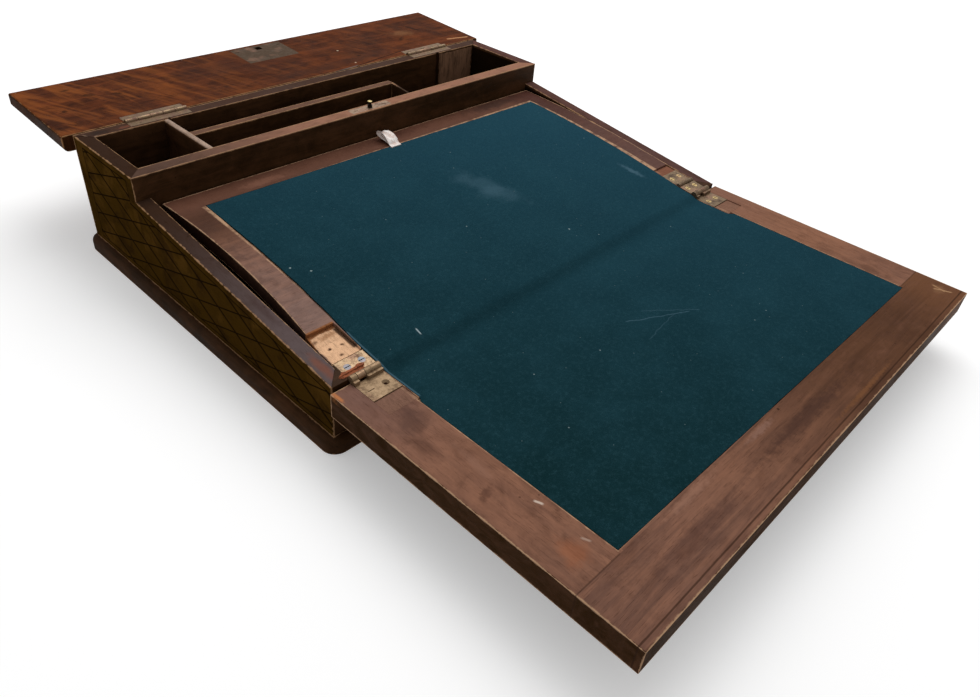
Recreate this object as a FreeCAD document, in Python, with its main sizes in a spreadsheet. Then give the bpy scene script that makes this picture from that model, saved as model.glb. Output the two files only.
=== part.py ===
import FreeCAD, Part
import os
import re
import Sketcher

# Folding writing desk: a wedge-shaped case with a lidded well at the back, a lid that
# opens rearwards, and a writing slope made of an inner flap and an outer flap on
# three-leaf hinges.
# Millimetres. X runs to the right, Y to the rear, Z up. The origin is the centre of the
# case's underside.

doc = FreeCAD.newDocument("writing_desk")
sheet = doc.addObject("Spreadsheet::Sheet", "Sizes")

SIZES = (
    ("case_width", "336.5", "case over its two sides"),
    ("case_length", "244", "case from front face to back face"),
    ("rim_height", "75", "rim of the well above the underside"),
    ("wall", "9.2", "sides, back and well rail"),
    ("front_board", "11.6", "front board, its inner layer included"),
    ("base_thick", "6", "base board"),
    ("well_depth", "70", "well, from rail front to case back"),
    ("step_height", "14.3", "drop from the rim to the writing slope"),
    ("slope_angle", "6.8", "writing slope, degrees"),
    ("plinth_height", "9", "plinth moulding"),
    ("plinth_reach", "4.5", "plinth beyond the case"),
    ("plinth_corner", "8", "rounding of the plinth in plan"),
    ("plinth_nose", "4", "rounding of the plinth's top edge"),
    ("divider_inset", "55", "left divider from the case's side"),
    ("divider_thick", "4.4", "left divider"),
    ("divider_drop", "0.6", "divider below the rim"),
    ("divider_round", "1.8", "rounding of the divider's top"),
    ("groove_depth", "2", "housing grooves"),
    ("groove_width", "3.5", "empty groove of the right divider"),
    ("groove_inset", "49.75", "empty groove from the case's side"),
    ("ledge_width", "6", "ledges below the inner flap"),
    ("ledge_height", "6", "ledges below the inner flap"),
    ("ledge_clear", "0.2", "inner flap above its ledges"),
    ("tray_inset", "119", "right end of the pen tray from the case's side"),
    ("tray_wall", "5.5", "long wall of the pen tray"),
    ("tray_bay", "25.2", "clear width of the pen tray"),
    ("tray_drop", "2", "pen tray below the rim"),
    ("tray_hollow", "24", "depth of the pen tray"),
    ("tray_floor", "3", "pen tray floor"),
    ("tray_slip", "1.5", "end slip of the pen tray"),
    ("tray_fall", "2.5", "fall of the end slip's top"),
    ("tray_clear", "0.3", "pen tray to its neighbours"),
    ("tray_seat", "0.1", "pen tray above its seats"),
    ("tray_rest", "3", "rest strip of the pen tray"),
    ("flap_overhang", "1.75", "outer flap beyond the case, each side"),
    ("flap_thick", "13.6", "outer flap"),
    ("flap_short", "1.6", "shut outer flap to the rail"),
    ("flap_start", "0.4", "outer flap's hinge edge from its axis"),
    ("flap_drop", "2", "outer flap's top below its axis"),
    ("outer_axis_reach", "0.97", "outer axis before the case's front, along the slope"),
    ("inner_axis_set", "0.55", "inner axis behind the front board, along the slope"),
    ("axis_lift", "0.2", "flap axes above the slope"),
    ("felt_side", "18.45", "felt to the inner faces of the sides"),
    ("felt_skew", "4.2", "inner felt's rear left corner drawn inwards"),
    ("felt_spread", "3.4", "inner felt's rear right corner spread outwards"),
    ("felt_sunk", "1.2", "depth of the felt's recess"),
    ("felt_thick", "1", "felt"),
    ("felt_front", "32.1", "outer felt to the free edge"),
    ("felt_wide_left", "1.6", "outer felt beyond its hinges' line, left"),
    ("felt_wide_right", "3.2", "outer felt beyond its hinges' line, right"),
    ("felt_slew", "2.8", "outer felt's front right corner drawn forwards"),
    ("felt_rear", "17", "inner felt's rear edge from the rail"),
    ("member_width", "30.8", "outer flap's front member with its lipping"),
    ("lipping", "3.2", "lipping on the free edge"),
    ("inner_gap", "0.8", "inner flap to the sides"),
    ("inner_rear", "2.6", "inner flap to the rail"),
    ("inner_front", "0.7", "inner flap to its axis"),
    ("inner_thick", "9", "inner flap"),
    ("crown_share", "0.49", "place of the inner flap's crown, as a share of its reach"),
    ("inner_crown", "0.7", "crown of the inner flap above the slope"),
    ("inner_sink", "4.3", "rear edge of the inner flap below the slope"),
    ("ribbon_centre", "0.5", "pull ribbon from the middle"),
    ("ribbon_width", "9", "pull ribbon"),
    ("ribbon_reach", "6.5", "pull ribbon beyond the felt"),
    ("ribbon_thick", "1.2", "pull ribbon, folded"),
    ("hinge_edge", "0.05", "flap hinges to the inner flap's edge"),
    ("hinge_length", "17.2", "flap hinges along their pins"),
    ("leaf_thick", "1.2", "hinge leaves"),
    ("leaf_fit", "0.2", "recess around a leaf"),
    ("inner_barrel", "1.4", "radius of the inner barrel"),
    ("outer_barrel", "2", "radius of the outer barrel"),
    ("barrel_clear", "0.3", "around a barrel"),
    ("knuckle_gap", "0.3", "between knuckles"),
    ("knuckle_short", "3.1", "first knuckle"),
    ("knuckle_mid", "4.4", "second knuckle"),
    ("pin_radius", "0.8", "hinge pins"),
    ("pin_clear", "0.04", "moving knuckle around its pin"),
    ("inner_leaf_reach", "14", "inner leaf from its axis"),
    ("outer_leaf_reach", "16.8", "outer leaf from its axis"),
    ("scar_depth", "0.6", "shallow step around the leaves"),
    ("scar_reach", "22", "shallow step behind the inner axis"),
    ("outer_scar_reach", "28", "shallow step before the outer axis"),
    ("screw_head", "1.9", "radius of a screw head"),
    ("screw_shank", "0.9", "radius of a screw shank"),
    ("screw_sink", "1", "depth of a countersunk head"),
    ("screw_length", "6", "screw below the face"),
    ("slot_width", "0.5", "screw slot"),
    ("slot_depth", "0.5", "screw slot"),
    ("inner_screw_row", "8", "screws behind the inner axis"),
    ("middle_screw_row", "5.6", "screws before the inner axis"),
    ("outer_screw_row", "10", "screws before the outer axis"),
    ("flap_screw_step", "4.3", "flap hinge screws from the hinge's middle"),
    ("lid_overhang", "6.25", "lid beyond the case, each side"),
    ("lid_thick", "10", "lid"),
    ("lid_front", "3.9", "shut lid beyond the rail"),
    ("lid_tilt", "2.5", "open lid above level, degrees"),
    ("lid_offset", "0.7", "lid axis behind the case"),
    ("lid_gap", "0.15", "lid axis to lid and rim"),
    ("lid_nose", "3.5", "rounding of the lid's outer edge"),
    ("lid_ease", "1.5", "rounding of the lid's inner edge"),
    ("lid_hinge_inset", "52.75", "lid hinges' middles from the case's sides"),
    ("lid_hinge_length", "40.6", "lid hinges along their pins"),
    ("lid_leaf_reach", "7.8", "lid hinge leaves from the axis"),
    ("lid_barrel", "1.6", "radius of the lid hinge barrel"),
    ("lid_screw_row", "4.9", "lid hinge screws from the axis"),
    ("lid_screw_step", "14", "lid hinge screws apart"),
    ("lid_screw_head", "1.6", "radius of the lid hinge screw heads"),
    ("lock_centre", "2.5", "lock and catch from the middle"),
    ("pin_row", "4.75", "catch pin behind the rail's front"),
    ("catch_length", "33", "catch plate"),
    ("catch_width", "6.6", "catch plate"),
    ("catch_thick", "1", "catch plate"),
    ("catch_screw_step", "12", "catch screws from the pin"),
    ("catch_radius", "1.7", "catch pin"),
    ("catch_neck", "1.1", "radius of the catch pin's neck"),
    ("neck_start", "1.6", "neck above the rim"),
    ("neck_end", "3.6", "neck above the rim"),
    ("catch_height", "4.4", "catch pin above the rim"),
    ("catch_ease", "0.6", "rounding of the pin's top"),
    ("catch_tang", "5", "catch pin below the rim"),
    ("plate_length", "42.6", "lock plate"),
    ("plate_width", "28", "lock plate"),
    ("plate_margin", "5.2", "lock plate beyond the pin hole's centre"),
    ("plate_thick", "1.2", "lock plate"),
    ("plate_hole", "5", "square hole for the catch pin"),
    ("plate_screw_x", "18", "lock plate screws from the lock's middle"),
    ("lock_length", "30", "lock case"),
    ("lock_width", "20.4", "lock case"),
    ("lock_margin", "4.75", "lock case beyond the pin hole's centre"),
    ("lock_depth", "7", "lock case"),
    ("lock_wall", "1", "lock case walls"),
    ("bolt_start", "13.5", "bolt's tail from the pin"),
    ("bolt_tip", "3.2", "bolt's tip from the pin"),
    ("bolt_width", "7", "bolt"),
    ("bolt_thick", "1.6", "bolt"),
    ("bolt_play", "0.2", "bolt in the neck, each side"),
    ("fork_depth", "4.5", "slot in the bolt's tip"),
    ("talon_width", "5", "bolt's tail for the key"),
    ("talon_reach", "6", "bolt's tail for the key"),
    ("talon_notch", "2", "notch for the key"),
    ("key_row", "9", "keyhole's centre before the pin"),
    ("key_radius", "1.6", "keyhole"),
    ("key_slot", "1.4", "keyhole slot"),
    ("key_slot_reach", "5", "keyhole slot from the centre"),
    ("key_plate", "6.5", "radius of the keyhole plate"),
    ("key_plate_thick", "0.8", "keyhole plate"),
    ("overrun", "3", "cuts beyond the material"),
    ("half_width", "=case_width / 2", ""),
    ("half_length", "=case_length / 2", ""),
    ("inner_half", "=half_width - wall", ""),
    ("front_inner", "=front_board - half_length", ""),
    ("rail_front", "=half_length - well_depth", ""),
    ("rail_back", "=rail_front + wall", ""),
    ("back_inner", "=half_length - wall", ""),
    ("slope_top", "=rim_height - step_height", ""),
    ("rise", "=tan(slope_angle * 1deg)", ""),
    ("slope_cos", "=cos(slope_angle * 1deg)", ""),
    ("slope_sin", "=sin(slope_angle * 1deg)", ""),
    ("slope_foot", "=slope_top - (rail_front + half_length) * rise", ""),
    ("flap_axis_along", "=(rail_front + half_length) / slope_cos + outer_axis_reach", ""),
    ("inner_axis_along", "=(rail_front - front_inner) / slope_cos - inner_axis_set", ""),
    ("inner_middle", "=inner_axis_along * crown_share", ""),
    ("flap_end", "=flap_axis_along - flap_short", ""),
    ("felt_end", "=flap_end - felt_front", ""),
    ("frame_joint", "=flap_end - member_width", ""),
    ("flap_width", "=case_width + 2 * flap_overhang", ""),
    ("felt_half", "=inner_half - felt_side", ""),
    ("inner_half_flap", "=inner_half - inner_gap", ""),
    ("hinge_centre", "=inner_half_flap - hinge_edge - hinge_length / 2", ""),
    ("lid_width", "=case_width + 2 * lid_overhang", ""),
    ("lid_reach", "=lid_offset + well_depth + lid_front", ""),
    ("lid_hinge_centre", "=half_width - lid_hinge_inset", ""),
    ("divider_centre", "=half_width - divider_inset", ""),
    ("groove_centre", "=half_width - groove_inset", ""),
    ("tray_end", "=half_width - tray_inset", ""),
    ("inner_axis_y", "=rail_front - inner_axis_along * slope_cos - axis_lift * slope_sin", ""),
    ("inner_axis_z", "=slope_top - inner_axis_along * slope_sin + axis_lift * slope_cos", ""),
    ("flap_axis_y", "=rail_front - flap_axis_along * slope_cos - axis_lift * slope_sin", ""),
    ("flap_axis_z", "=slope_top - flap_axis_along * slope_sin + axis_lift * slope_cos", ""),
    ("lid_axis_y", "=half_length + lid_offset", ""),
    ("lid_axis_z", "=rim_height + lid_gap", ""),
    ("ledge_drop", "=(inner_thick + inner_sink + ledge_clear) / slope_cos", ""),
    ("pin_line", "=lid_axis_y - rail_front - pin_row", ""),
    ("knuckle_last", "=knuckle_short + knuckle_mid + 2 * knuckle_gap", ""),
    ("lid_knuckle", "=(lid_hinge_length - 4 * knuckle_gap) / 5", ""),
    ("tray_left", "=divider_thick / 2 + tray_clear - divider_centre", ""),
    ("tray_front", "=rail_back + tray_clear", ""),
    ("tray_back", "=tray_front + tray_bay", ""),
    ("tray_top", "=rim_height - tray_drop", ""),
    ("tray_bed", "=tray_top - tray_hollow - tray_floor", ""),
)

aliases = set()
for row, (alias, value, note) in enumerate(SIZES, 1):
    sheet.set("A%d" % row, alias.replace("_", " "))
    sheet.set("B%d" % row, value)
    sheet.set("C%d" % row, note)
    sheet.setAlias("B%d" % row, alias)
    aliases.add(alias)
answer_cell = "B%d" % (len(SIZES) + 2)
doc.recompute()

X_AXIS = FreeCAD.Vector(1, 0, 0)
Y_AXIS = FreeCAD.Vector(0, 1, 0)
ORIGIN = FreeCAD.Vector(0, 0, 0)
nodes = []


def number(text):
    """Return the value of a sum of named sizes."""
    sheet.set(answer_cell, "=" + text)
    sheet.recompute()
    return float(sheet.get(answer_cell))


def linked(text):
    """Point each named size in a sum at the sheet."""
    def link(found):
        word = found.group(0)
        return "Sizes." + word if word in aliases else word
    return re.sub(r"[a-z][a-z_0-9]*", link, text)


def drive(thing, prop, text):
    thing.setExpression(prop, linked(text))


# Frames: the origin's Y and Z, and the turn about X.
CASE = ("0", "0", None)
SLOPE = ("rail_front", "slope_top", "slope_angle")
INNER_AXIS = ("inner_axis_y", "inner_axis_z", "slope_angle")
OUTER_AXIS = ("flap_axis_y", "flap_axis_z", None)
LID_AXIS = ("lid_axis_y", "lid_axis_z", "lid_tilt")


def put(thing, frame, x="0", y="0", z="0", along_x=False):
    """Place a shape at x, y, z of a frame; a rod along X keeps its own turn."""
    base_y, base_z, angle = frame
    if angle is None:
        place_y = "(%s) + (%s)" % (base_y, y)
        place_z = "(%s) + (%s)" % (base_z, z)
    else:
        turn = "%s * 1deg" % angle
        place_y = "(%s) + (%s) * cos(%s) - (%s) * sin(%s)" % (base_y, y, turn, z, turn)
        place_z = "(%s) + (%s) * sin(%s) + (%s) * cos(%s)" % (base_z, y, turn, z, turn)
    if along_x:
        thing.Placement = FreeCAD.Placement(ORIGIN, FreeCAD.Rotation(Y_AXIS, 90))
    elif angle is not None:
        thing.Placement = FreeCAD.Placement(ORIGIN, FreeCAD.Rotation(X_AXIS, 1))
        drive(thing, "Placement.Rotation.Angle", angle)
    drive(thing, "Placement.Base.x", x)
    drive(thing, "Placement.Base.y", place_y)
    drive(thing, "Placement.Base.z", place_z)
    return thing


def box(name, frame, low, size):
    thing = doc.addObject("Part::Box", name)
    for prop, text in zip(("Length", "Width", "Height"), size):
        drive(thing, prop, text)
    return put(thing, frame, *low)


def rod(name, frame, start, radius, length):
    """A cylinder along X."""
    thing = doc.addObject("Part::Cylinder", name)
    drive(thing, "Radius", radius)
    drive(thing, "Height", length)
    return put(thing, frame, *start, along_x=True)


def post(name, frame, foot, radius, height):
    """A cylinder along the frame's Z."""
    thing = doc.addObject("Part::Cylinder", name)
    drive(thing, "Radius", radius)
    drive(thing, "Height", height)
    return put(thing, frame, *foot)


def fuse(name, things):
    if len(things) == 1:
        return things[0]
    whole = doc.addObject("Part::MultiFuse", name)
    whole.Shapes = things
    return whole


def cut(name, base, tools):
    rest = doc.addObject("Part::Cut", name)
    rest.Base = base
    rest.Tool = fuse(name + "_cuts", tools)
    return rest


def shared(name, first, second):
    piece = doc.addObject("Part::Common", name)
    piece.Base = first
    piece.Tool = second
    return piece


def node(name, thing):
    thing.Label = name
    nodes.append(thing)
    return thing


def new_body(name):
    return doc.addObject("PartDesign::Body", name)


def attach(body, name, role, shift):
    sketch = body.newObject("Sketcher::SketchObject", name)
    plane = [item for item in body.Origin.OriginFeatures if item.Role == role][0]
    sketch.AttachmentSupport = [(plane, "")]
    sketch.MapMode = "FlatFace"
    if shift:
        drive(sketch, "AttachmentOffset.Base.z", shift)
    return sketch


def pin_point(sketch, curve, end, x, y):
    """Hold one end of a curve at x, y by named sizes."""
    for kind, text in (("DistanceX", x), ("DistanceY", y)):
        made = sketch.addConstraint(Sketcher.Constraint(kind, -1, 1, curve, end, number(text)))
        drive(sketch, "Constraints[%d]" % made, text)


def outline(body, name, role, points, shift=None):
    """A closed outline of straight lines through points given as sums of sizes."""
    sketch = attach(body, name, role, shift)
    spots = [FreeCAD.Vector(number(x), number(y), 0) for x, y in points]
    count = len(points)
    for index in range(count):
        sketch.addGeometry(Part.LineSegment(spots[index], spots[(index + 1) % count]), False)
    for index in range(count):
        sketch.addConstraint(Sketcher.Constraint("Coincident", index, 2, (index + 1) % count, 1))
    for index, (x, y) in enumerate(points):
        pin_point(sketch, index, 1, x, y)
    return sketch


def pad(body, name, sketch, length, both=False, back=False):
    feature = body.newObject("PartDesign::Pad", name)
    feature.Profile = sketch
    drive(feature, "Length", length)
    if both:
        feature.SideType = "Symmetric"
    feature.Reversed = back
    body.Tip = feature
    return feature


def pocket(body, name, sketch, length, both=False):
    feature = body.newObject("PartDesign::Pocket", name)
    feature.Profile = sketch
    drive(feature, "Length", length)
    if both:
        feature.SideType = "Symmetric"
    body.Tip = feature
    return feature


def rectangle(x0, y0, x1, y1):
    return ((x0, y0), (x1, y0), (x1, y1), (x0, y1))


def board(name, points, height, shift=None, back=False):
    """A body padded from a plan outline."""
    body = new_body(name)
    sketch = outline(body, name + "_plan", "XY_Plane", points, shift)
    pad(body, name + "_pad", sketch, height, back=back)
    return body


def prism(name, points, width, shift=None, both=False):
    """A body padded along X from an outline in the YZ plane."""
    body = new_body(name)
    sketch = outline(body, name + "_side", "YZ_Plane", points, shift)
    pad(body, name + "_pad", sketch, width, both=both)
    return body


def round_edges(body, name, radius, wanted):
    """Round the edges of the body's tip that the test picks."""
    doc.recompute()
    tip = body.Tip
    names = ["Edge%d" % (i + 1) for i, edge in enumerate(tip.Shape.Edges) if wanted(edge)]
    feature = body.newObject("PartDesign::Fillet", name)
    feature.Base = (tip, names)
    drive(feature, "Radius", radius)
    body.Tip = feature
    return feature


def near(first, second):
    return abs(first - second) < number("leaf_fit")


# Plinth: one rounded ring cut at the mitres into four mouldings.
ring = board("plinth_ring", rectangle(
    "-half_width - plinth_reach", "-half_length - plinth_reach",
    "half_width + plinth_reach", "half_length + plinth_reach"), "plinth_height")
hole = outline(ring, "plinth_hole", "XY_Plane",
               rectangle("-half_width", "-half_length", "half_width", "half_length"),
               "plinth_height")
pocket(ring, "plinth_open", hole, "plinth_height")
round_edges(ring, "plinth_corners", "plinth_corner", lambda edge: (
    near(edge.Length, number("plinth_height"))
    and near(abs(edge.CenterOfMass.x), number("half_width + plinth_reach"))))
round_edges(ring, "plinth_nose_round", "plinth_nose", lambda edge: (
    near(edge.BoundBox.ZMin, number("plinth_height"))
    and (edge.BoundBox.XMax > number("half_width + leaf_fit")
         or edge.BoundBox.XMin < number("-half_width - leaf_fit")
         or edge.BoundBox.YMax > number("half_length + leaf_fit")
         or edge.BoundBox.YMin < number("-half_length - leaf_fit"))))
FAR_X = "half_width + plinth_reach + overrun"
FAR_Y = "half_length + plinth_reach + overrun"
NEAR_X = "half_width - plinth_reach"
NEAR_Y = "half_length - plinth_reach"
for side, points in (
    ("front", (("-(%s)" % FAR_X, "-(%s)" % FAR_Y), (FAR_X, "-(%s)" % FAR_Y),
               (NEAR_X, "-(%s)" % NEAR_Y), ("-(%s)" % NEAR_X, "-(%s)" % NEAR_Y))),
    ("back", (("-(%s)" % NEAR_X, NEAR_Y), (NEAR_X, NEAR_Y), (FAR_X, FAR_Y),
              ("-(%s)" % FAR_X, FAR_Y))),
    ("left", (("-(%s)" % FAR_X, "-(%s)" % FAR_Y), ("-(%s)" % NEAR_X, "-(%s)" % NEAR_Y),
              ("-(%s)" % NEAR_X, NEAR_Y), ("-(%s)" % FAR_X, FAR_Y))),
    ("right", ((FAR_X, "-(%s)" % FAR_Y), (FAR_X, FAR_Y), (NEAR_X, NEAR_Y),
               (NEAR_X, "-(%s)" % NEAR_Y))),
):
    wedge = board("mitre_" + side, points, "plinth_height")
    node("plinth_" + side, shared("plinth_piece_" + side, ring, wedge))

# Base board between the walls.
node("base_board", board("base", rectangle(
    "-inner_half", "front_inner", "inner_half", "back_inner"), "base_thick"))

# Sides: mitred to the back, the front and the upper part of the well rail.
SLOPE_CUT = (("rail_front", "slope_top"), ("rail_front", "rim_height + overrun"),
             ("-half_length - overrun", "rim_height + overrun"),
             ("-half_length - overrun", "slope_foot - overrun * rise"))
for side, sign in (("left", "-1"), ("right", "1")):
    body = board("side_" + side, (
        (sign + " * inner_half", "wall - half_length"), (sign + " * half_width", "-half_length"),
        (sign + " * half_width", "half_length"), (sign + " * inner_half", "back_inner")),
        "rim_height")
    slope = outline(body, "slope_" + side, "YZ_Plane", SLOPE_CUT)
    pocket(body, "slope_cut_" + side, slope, "2 * case_width", both=True)
    wedge = outline(body, "rail_mitre_" + side, "XY_Plane", (
        (sign + " * inner_half", "rail_front"), (sign + " * half_width", "rail_front"),
        (sign + " * inner_half", "rail_back")), "rim_height")
    pocket(body, "rail_mitre_cut_" + side, wedge, "step_height")
    node("side_" + side, body)

# Back board with the divider grooves and the lid hinge recesses.
back = board("back", (
    ("-half_width", "half_length"), ("-inner_half", "back_inner"),
    ("inner_half", "back_inner"), ("half_width", "half_length")), "rim_height")
LEFT_GROOVE = ("-divider_centre - divider_thick / 2", "divider_thick")
RIGHT_GROOVE = ("groove_centre - groove_width / 2", "groove_width")
grooves = []
for place, (start, width) in (("left", LEFT_GROOVE), ("right", RIGHT_GROOVE)):
    for wall_name, low, high in (("back", "back_inner", "rim_height"),
                                 ("rail", "rail_back - groove_depth",
                                  "rim_height - divider_drop - base_thick")):
        grooves.append(box("groove_%s_%s" % (wall_name, place), CASE, (start, low, "base_thick"),
                           (width, "groove_depth", high)))
back_grooves = [grooves[0], grooves[2]]
rail_grooves = [grooves[1], grooves[3]]


def screw(name, frame, x, y, top, head="screw_head"):
    """A countersunk wood screw standing down from a face, and its slot."""
    cone = doc.addObject("Part::Cone", name + "_head")
    drive(cone, "Radius1", "screw_shank")
    drive(cone, "Radius2", head)
    drive(cone, "Height", "screw_sink")
    put(cone, frame, x, y, "(%s) - screw_sink" % top)
    shank = post(name + "_shank", frame, (x, y, "(%s) - screw_length" % top),
                 "screw_shank", "screw_length - screw_sink / 2")
    slot = box(name + "_slot", frame,
               ("(%s) - (%s)" % (x, head), "(%s) - slot_width / 2" % y, "(%s) - slot_depth" % top),
               ("2 * (%s)" % head, "slot_width", "slot_depth + overrun"))
    return fuse(name, [cone, shank]), slot


def screw_set(name, frame, places, top, head="screw_head"):
    """Screws at places of one frame: their solids for cutting, and the slotted set."""
    made = [screw("%s_%d" % (name, i), frame, x, y, top, head)
            for i, (x, y) in enumerate(places, 1)]
    blanks = [item[0] for item in made]
    return blanks, [item[1] for item in made]


def leaf(name, frame, side, middle, length, reach, top, barrel, knuckles, bore, drop=None):
    """One hinge leaf: a plate, and knuckles on webs around the frame's X axis.
    A dropped leaf has its plate below the barrel, on upright webs."""
    start = "(%s) - (%s) / 2" % (middle, length)
    near_edge = "%s + barrel_clear" % barrel
    plate_low = near_edge if side > 0 else "-(%s)" % reach
    pieces = [box(name + "_plate", frame, (start, plate_low, "(%s) - leaf_thick" % top),
                  (length, "(%s) - (%s)" % (reach, near_edge), "leaf_thick"))]
    for index, (offset, span) in enumerate(knuckles, 1):
        x = "(%s) + (%s)" % (start, offset)
        if drop:
            web_low = "-(%s) - leaf_thick" % near_edge
            web = (span, "(%s) / 2 + leaf_thick + barrel_clear" % barrel,
                   "-(%s) + leaf_thick" % top)
        else:
            web_low = "0" if side > 0 else "-(%s)" % near_edge
            web = (span, near_edge, "leaf_thick")
        pieces.append(box("%s_web_%d" % (name, index), frame,
                          (x, web_low, "(%s) - leaf_thick" % top), web))
        pieces.append(rod("%s_knuckle_%d" % (name, index), frame, (x, "0", "0"), barrel, span))
    eye = rod(name + "_eye", frame, ("(%s) - overrun" % start, "0", "0"), bore,
              "(%s) + 2 * overrun" % length)
    return fuse(name + "_solid", pieces), eye


# Lid hinges: five knuckles each, three on the case and two on the lid.
lid_recesses = []
case_recesses = []
LID_FACE = "-lid_gap"
CASE_LID_AXIS = ("lid_axis_y", "lid_axis_z", None)
for side, sign in (("left", "-1"), ("right", "1")):
    middle = sign + " * lid_hinge_centre"
    start = "(%s) - lid_hinge_length / 2" % middle
    step = "lid_knuckle + knuckle_gap"
    case_knuckles = [("%d * (%s)" % (i, step), "lid_knuckle") for i in (0, 2, 4)]
    lid_knuckles = [("%d * (%s)" % (i, step), "lid_knuckle") for i in (1, 3)]
    places = [("(%s) + %d * lid_screw_step" % (middle, i), "lid_screw_row") for i in (-1, 0, 1)]
    back_places = [(x, "-(%s)" % y) for x, y in places]
    blanks, slots = screw_set("lid_screw_" + side, LID_AXIS, places, LID_FACE, "lid_screw_head")
    case_blanks, case_slots = screw_set("case_screw_" + side, CASE_LID_AXIS, back_places,
                                        LID_FACE, "lid_screw_head")
    plate, eye = leaf("lid_leaf_" + side, LID_AXIS, 1, middle, "lid_hinge_length",
                      "lid_leaf_reach", LID_FACE, "lid_barrel", lid_knuckles,
                      "pin_radius + pin_clear")
    node("lid_hinge_lid_leaf_" + side, cut("lid_leaf_cut_" + side, plate, [eye] + blanks))
    node("lid_hinge_lid_screws_" + side, cut("lid_screws_" + side,
                                             fuse("lid_screw_set_" + side, blanks), slots))
    plate, eye = leaf("case_leaf_" + side, CASE_LID_AXIS, -1, middle, "lid_hinge_length",
                      "lid_leaf_reach", LID_FACE, "lid_barrel", case_knuckles, "pin_radius")
    node("lid_hinge_case_leaf_" + side, cut("case_leaf_cut_" + side, plate, [eye] + case_blanks))
    node("lid_hinge_case_screws_" + side, cut("case_screws_" + side,
                                              fuse("case_screw_set_" + side, case_blanks),
                                              case_slots))
    node("lid_hinge_pin_" + side, rod("lid_pin_" + side, CASE_LID_AXIS, (start, "0", "0"),
                                      "pin_radius", "lid_hinge_length"))
    wide = "lid_hinge_length + 2 * leaf_fit"
    edge = "(%s) - leaf_fit" % start
    lid_recesses += blanks + [
        box("lid_leaf_recess_" + side, LID_AXIS, (edge, "0", "-lid_gap - leaf_thick"),
            (wide, "lid_leaf_reach + leaf_fit", "leaf_thick + overrun")),
        rod("lid_barrel_recess_" + side, LID_AXIS, (edge, "0", "0"),
            "lid_barrel + barrel_clear", wide)]
    case_recesses += case_blanks + [
        box("case_leaf_recess_" + side, CASE_LID_AXIS,
            (edge, "-lid_leaf_reach - leaf_fit", "-lid_gap - leaf_thick"),
            (wide, "lid_leaf_reach + leaf_fit", "leaf_thick + overrun")),
        rod("case_barrel_recess_" + side, CASE_LID_AXIS, (edge, "0", "0"),
            "lid_barrel + barrel_clear", wide)]
node("back_board", cut("back_cut", back, back_grooves + case_recesses))

# Well rail: full height between the sides, mitred to them above the slope.
rail = board("rail", rectangle("-inner_half", "rail_front", "inner_half", "rail_back"),
             "slope_top - base_thick", "base_thick")
upper = outline(rail, "rail_upper", "XY_Plane", (
    ("-half_width", "rail_front"), ("half_width", "rail_front"),
    ("inner_half", "rail_back"), ("-inner_half", "rail_back")), "slope_top")
pad(rail, "rail_upper_pad", upper, "step_height")
catch_y = "rail_front + pin_row"
plate_box = box("catch_blank", CASE,
                ("lock_centre - catch_length / 2", "%s - catch_width / 2" % catch_y,
                 "rim_height - catch_thick"),
                ("catch_length", "catch_width", "catch_thick"))
catch_blanks, catch_slots = screw_set("catch_screw", CASE, [
    ("lock_centre - catch_screw_step", catch_y), ("lock_centre + catch_screw_step", catch_y)],
    "rim_height")

# Catch pin: a headed pin with a neck for the bolt, turned about its own axis.
pin_body = new_body("catch_pin_body")
profile = outline(pin_body, "catch_pin_profile", "XZ_Plane", (
    ("0", "-catch_tang"), ("catch_radius", "-catch_tang"), ("catch_radius", "neck_start"),
    ("catch_neck", "neck_start"), ("catch_neck", "neck_end"), ("catch_radius", "neck_end"),
    ("catch_radius", "catch_height"), ("0", "catch_height")))
turned = pin_body.newObject("PartDesign::Revolution", "catch_pin_turned")
turned.Profile = profile
turned.ReferenceAxis = (profile, ["V_Axis"])
turned.Angle = 360
pin_body.Tip = turned
round_edges(pin_body, "catch_pin_round", "catch_ease", lambda edge: (
    near(edge.BoundBox.ZMin, number("catch_height"))
    and near(edge.BoundBox.ZMax, number("catch_height"))))
put(pin_body, CASE, "lock_centre", catch_y, "rim_height")
pin_hole = post("catch_pin_hole", CASE, ("lock_centre", catch_y, "rim_height - catch_tang"),
                "catch_radius", "catch_tang + overrun")
node("catch_pin", pin_body)
node("catch_plate", cut("catch_plate_cut", plate_box, [pin_hole] + catch_blanks))
node("catch_screws", cut("catch_screws_cut", fuse("catch_screw_set", catch_blanks), catch_slots))
node("well_rail", cut("rail_cut", rail, rail_grooves + [plate_box, pin_hole] + catch_blanks))

# Left divider, rounded along its top, housed in the rail and the back board.
divider = board("divider", rectangle(
    "-divider_centre - divider_thick / 2", "rail_back - groove_depth",
    "-divider_centre + divider_thick / 2", "back_inner + groove_depth"),
    "rim_height - divider_drop - base_thick", "base_thick")
round_edges(divider, "divider_top", "divider_round", lambda edge: (
    near(edge.BoundBox.ZMin, number("rim_height - divider_drop"))
    and edge.BoundBox.YLength > number("wall")))
node("left_divider", divider)

# Ledges that carry the inner flap.
LEDGE_REAR = "slope_top - ledge_drop"
LEDGE_FRONT = "slope_top - ledge_drop - (rail_front - front_inner) * rise"
LEDGE_MID = "slope_top - ledge_drop - ledge_width * rise"
side_points = (("rail_front", LEDGE_REAR), ("front_inner", LEDGE_FRONT),
               ("front_inner", LEDGE_FRONT + " - ledge_height"),
               ("rail_front", LEDGE_REAR + " - ledge_height"))
node("ledge_left", prism("ledge_l", side_points, "ledge_width", "-inner_half"))
node("ledge_right", prism("ledge_r", side_points, "ledge_width", "inner_half - ledge_width"))
node("ledge_rear", prism("ledge_b", (
    ("rail_front", LEDGE_REAR), ("rail_front - ledge_width", LEDGE_MID),
    ("rail_front - ledge_width", LEDGE_MID + " - ledge_height"),
    ("rail_front", LEDGE_REAR + " - ledge_height")),
    "2 * (inner_half - ledge_width)", both=True))

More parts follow.
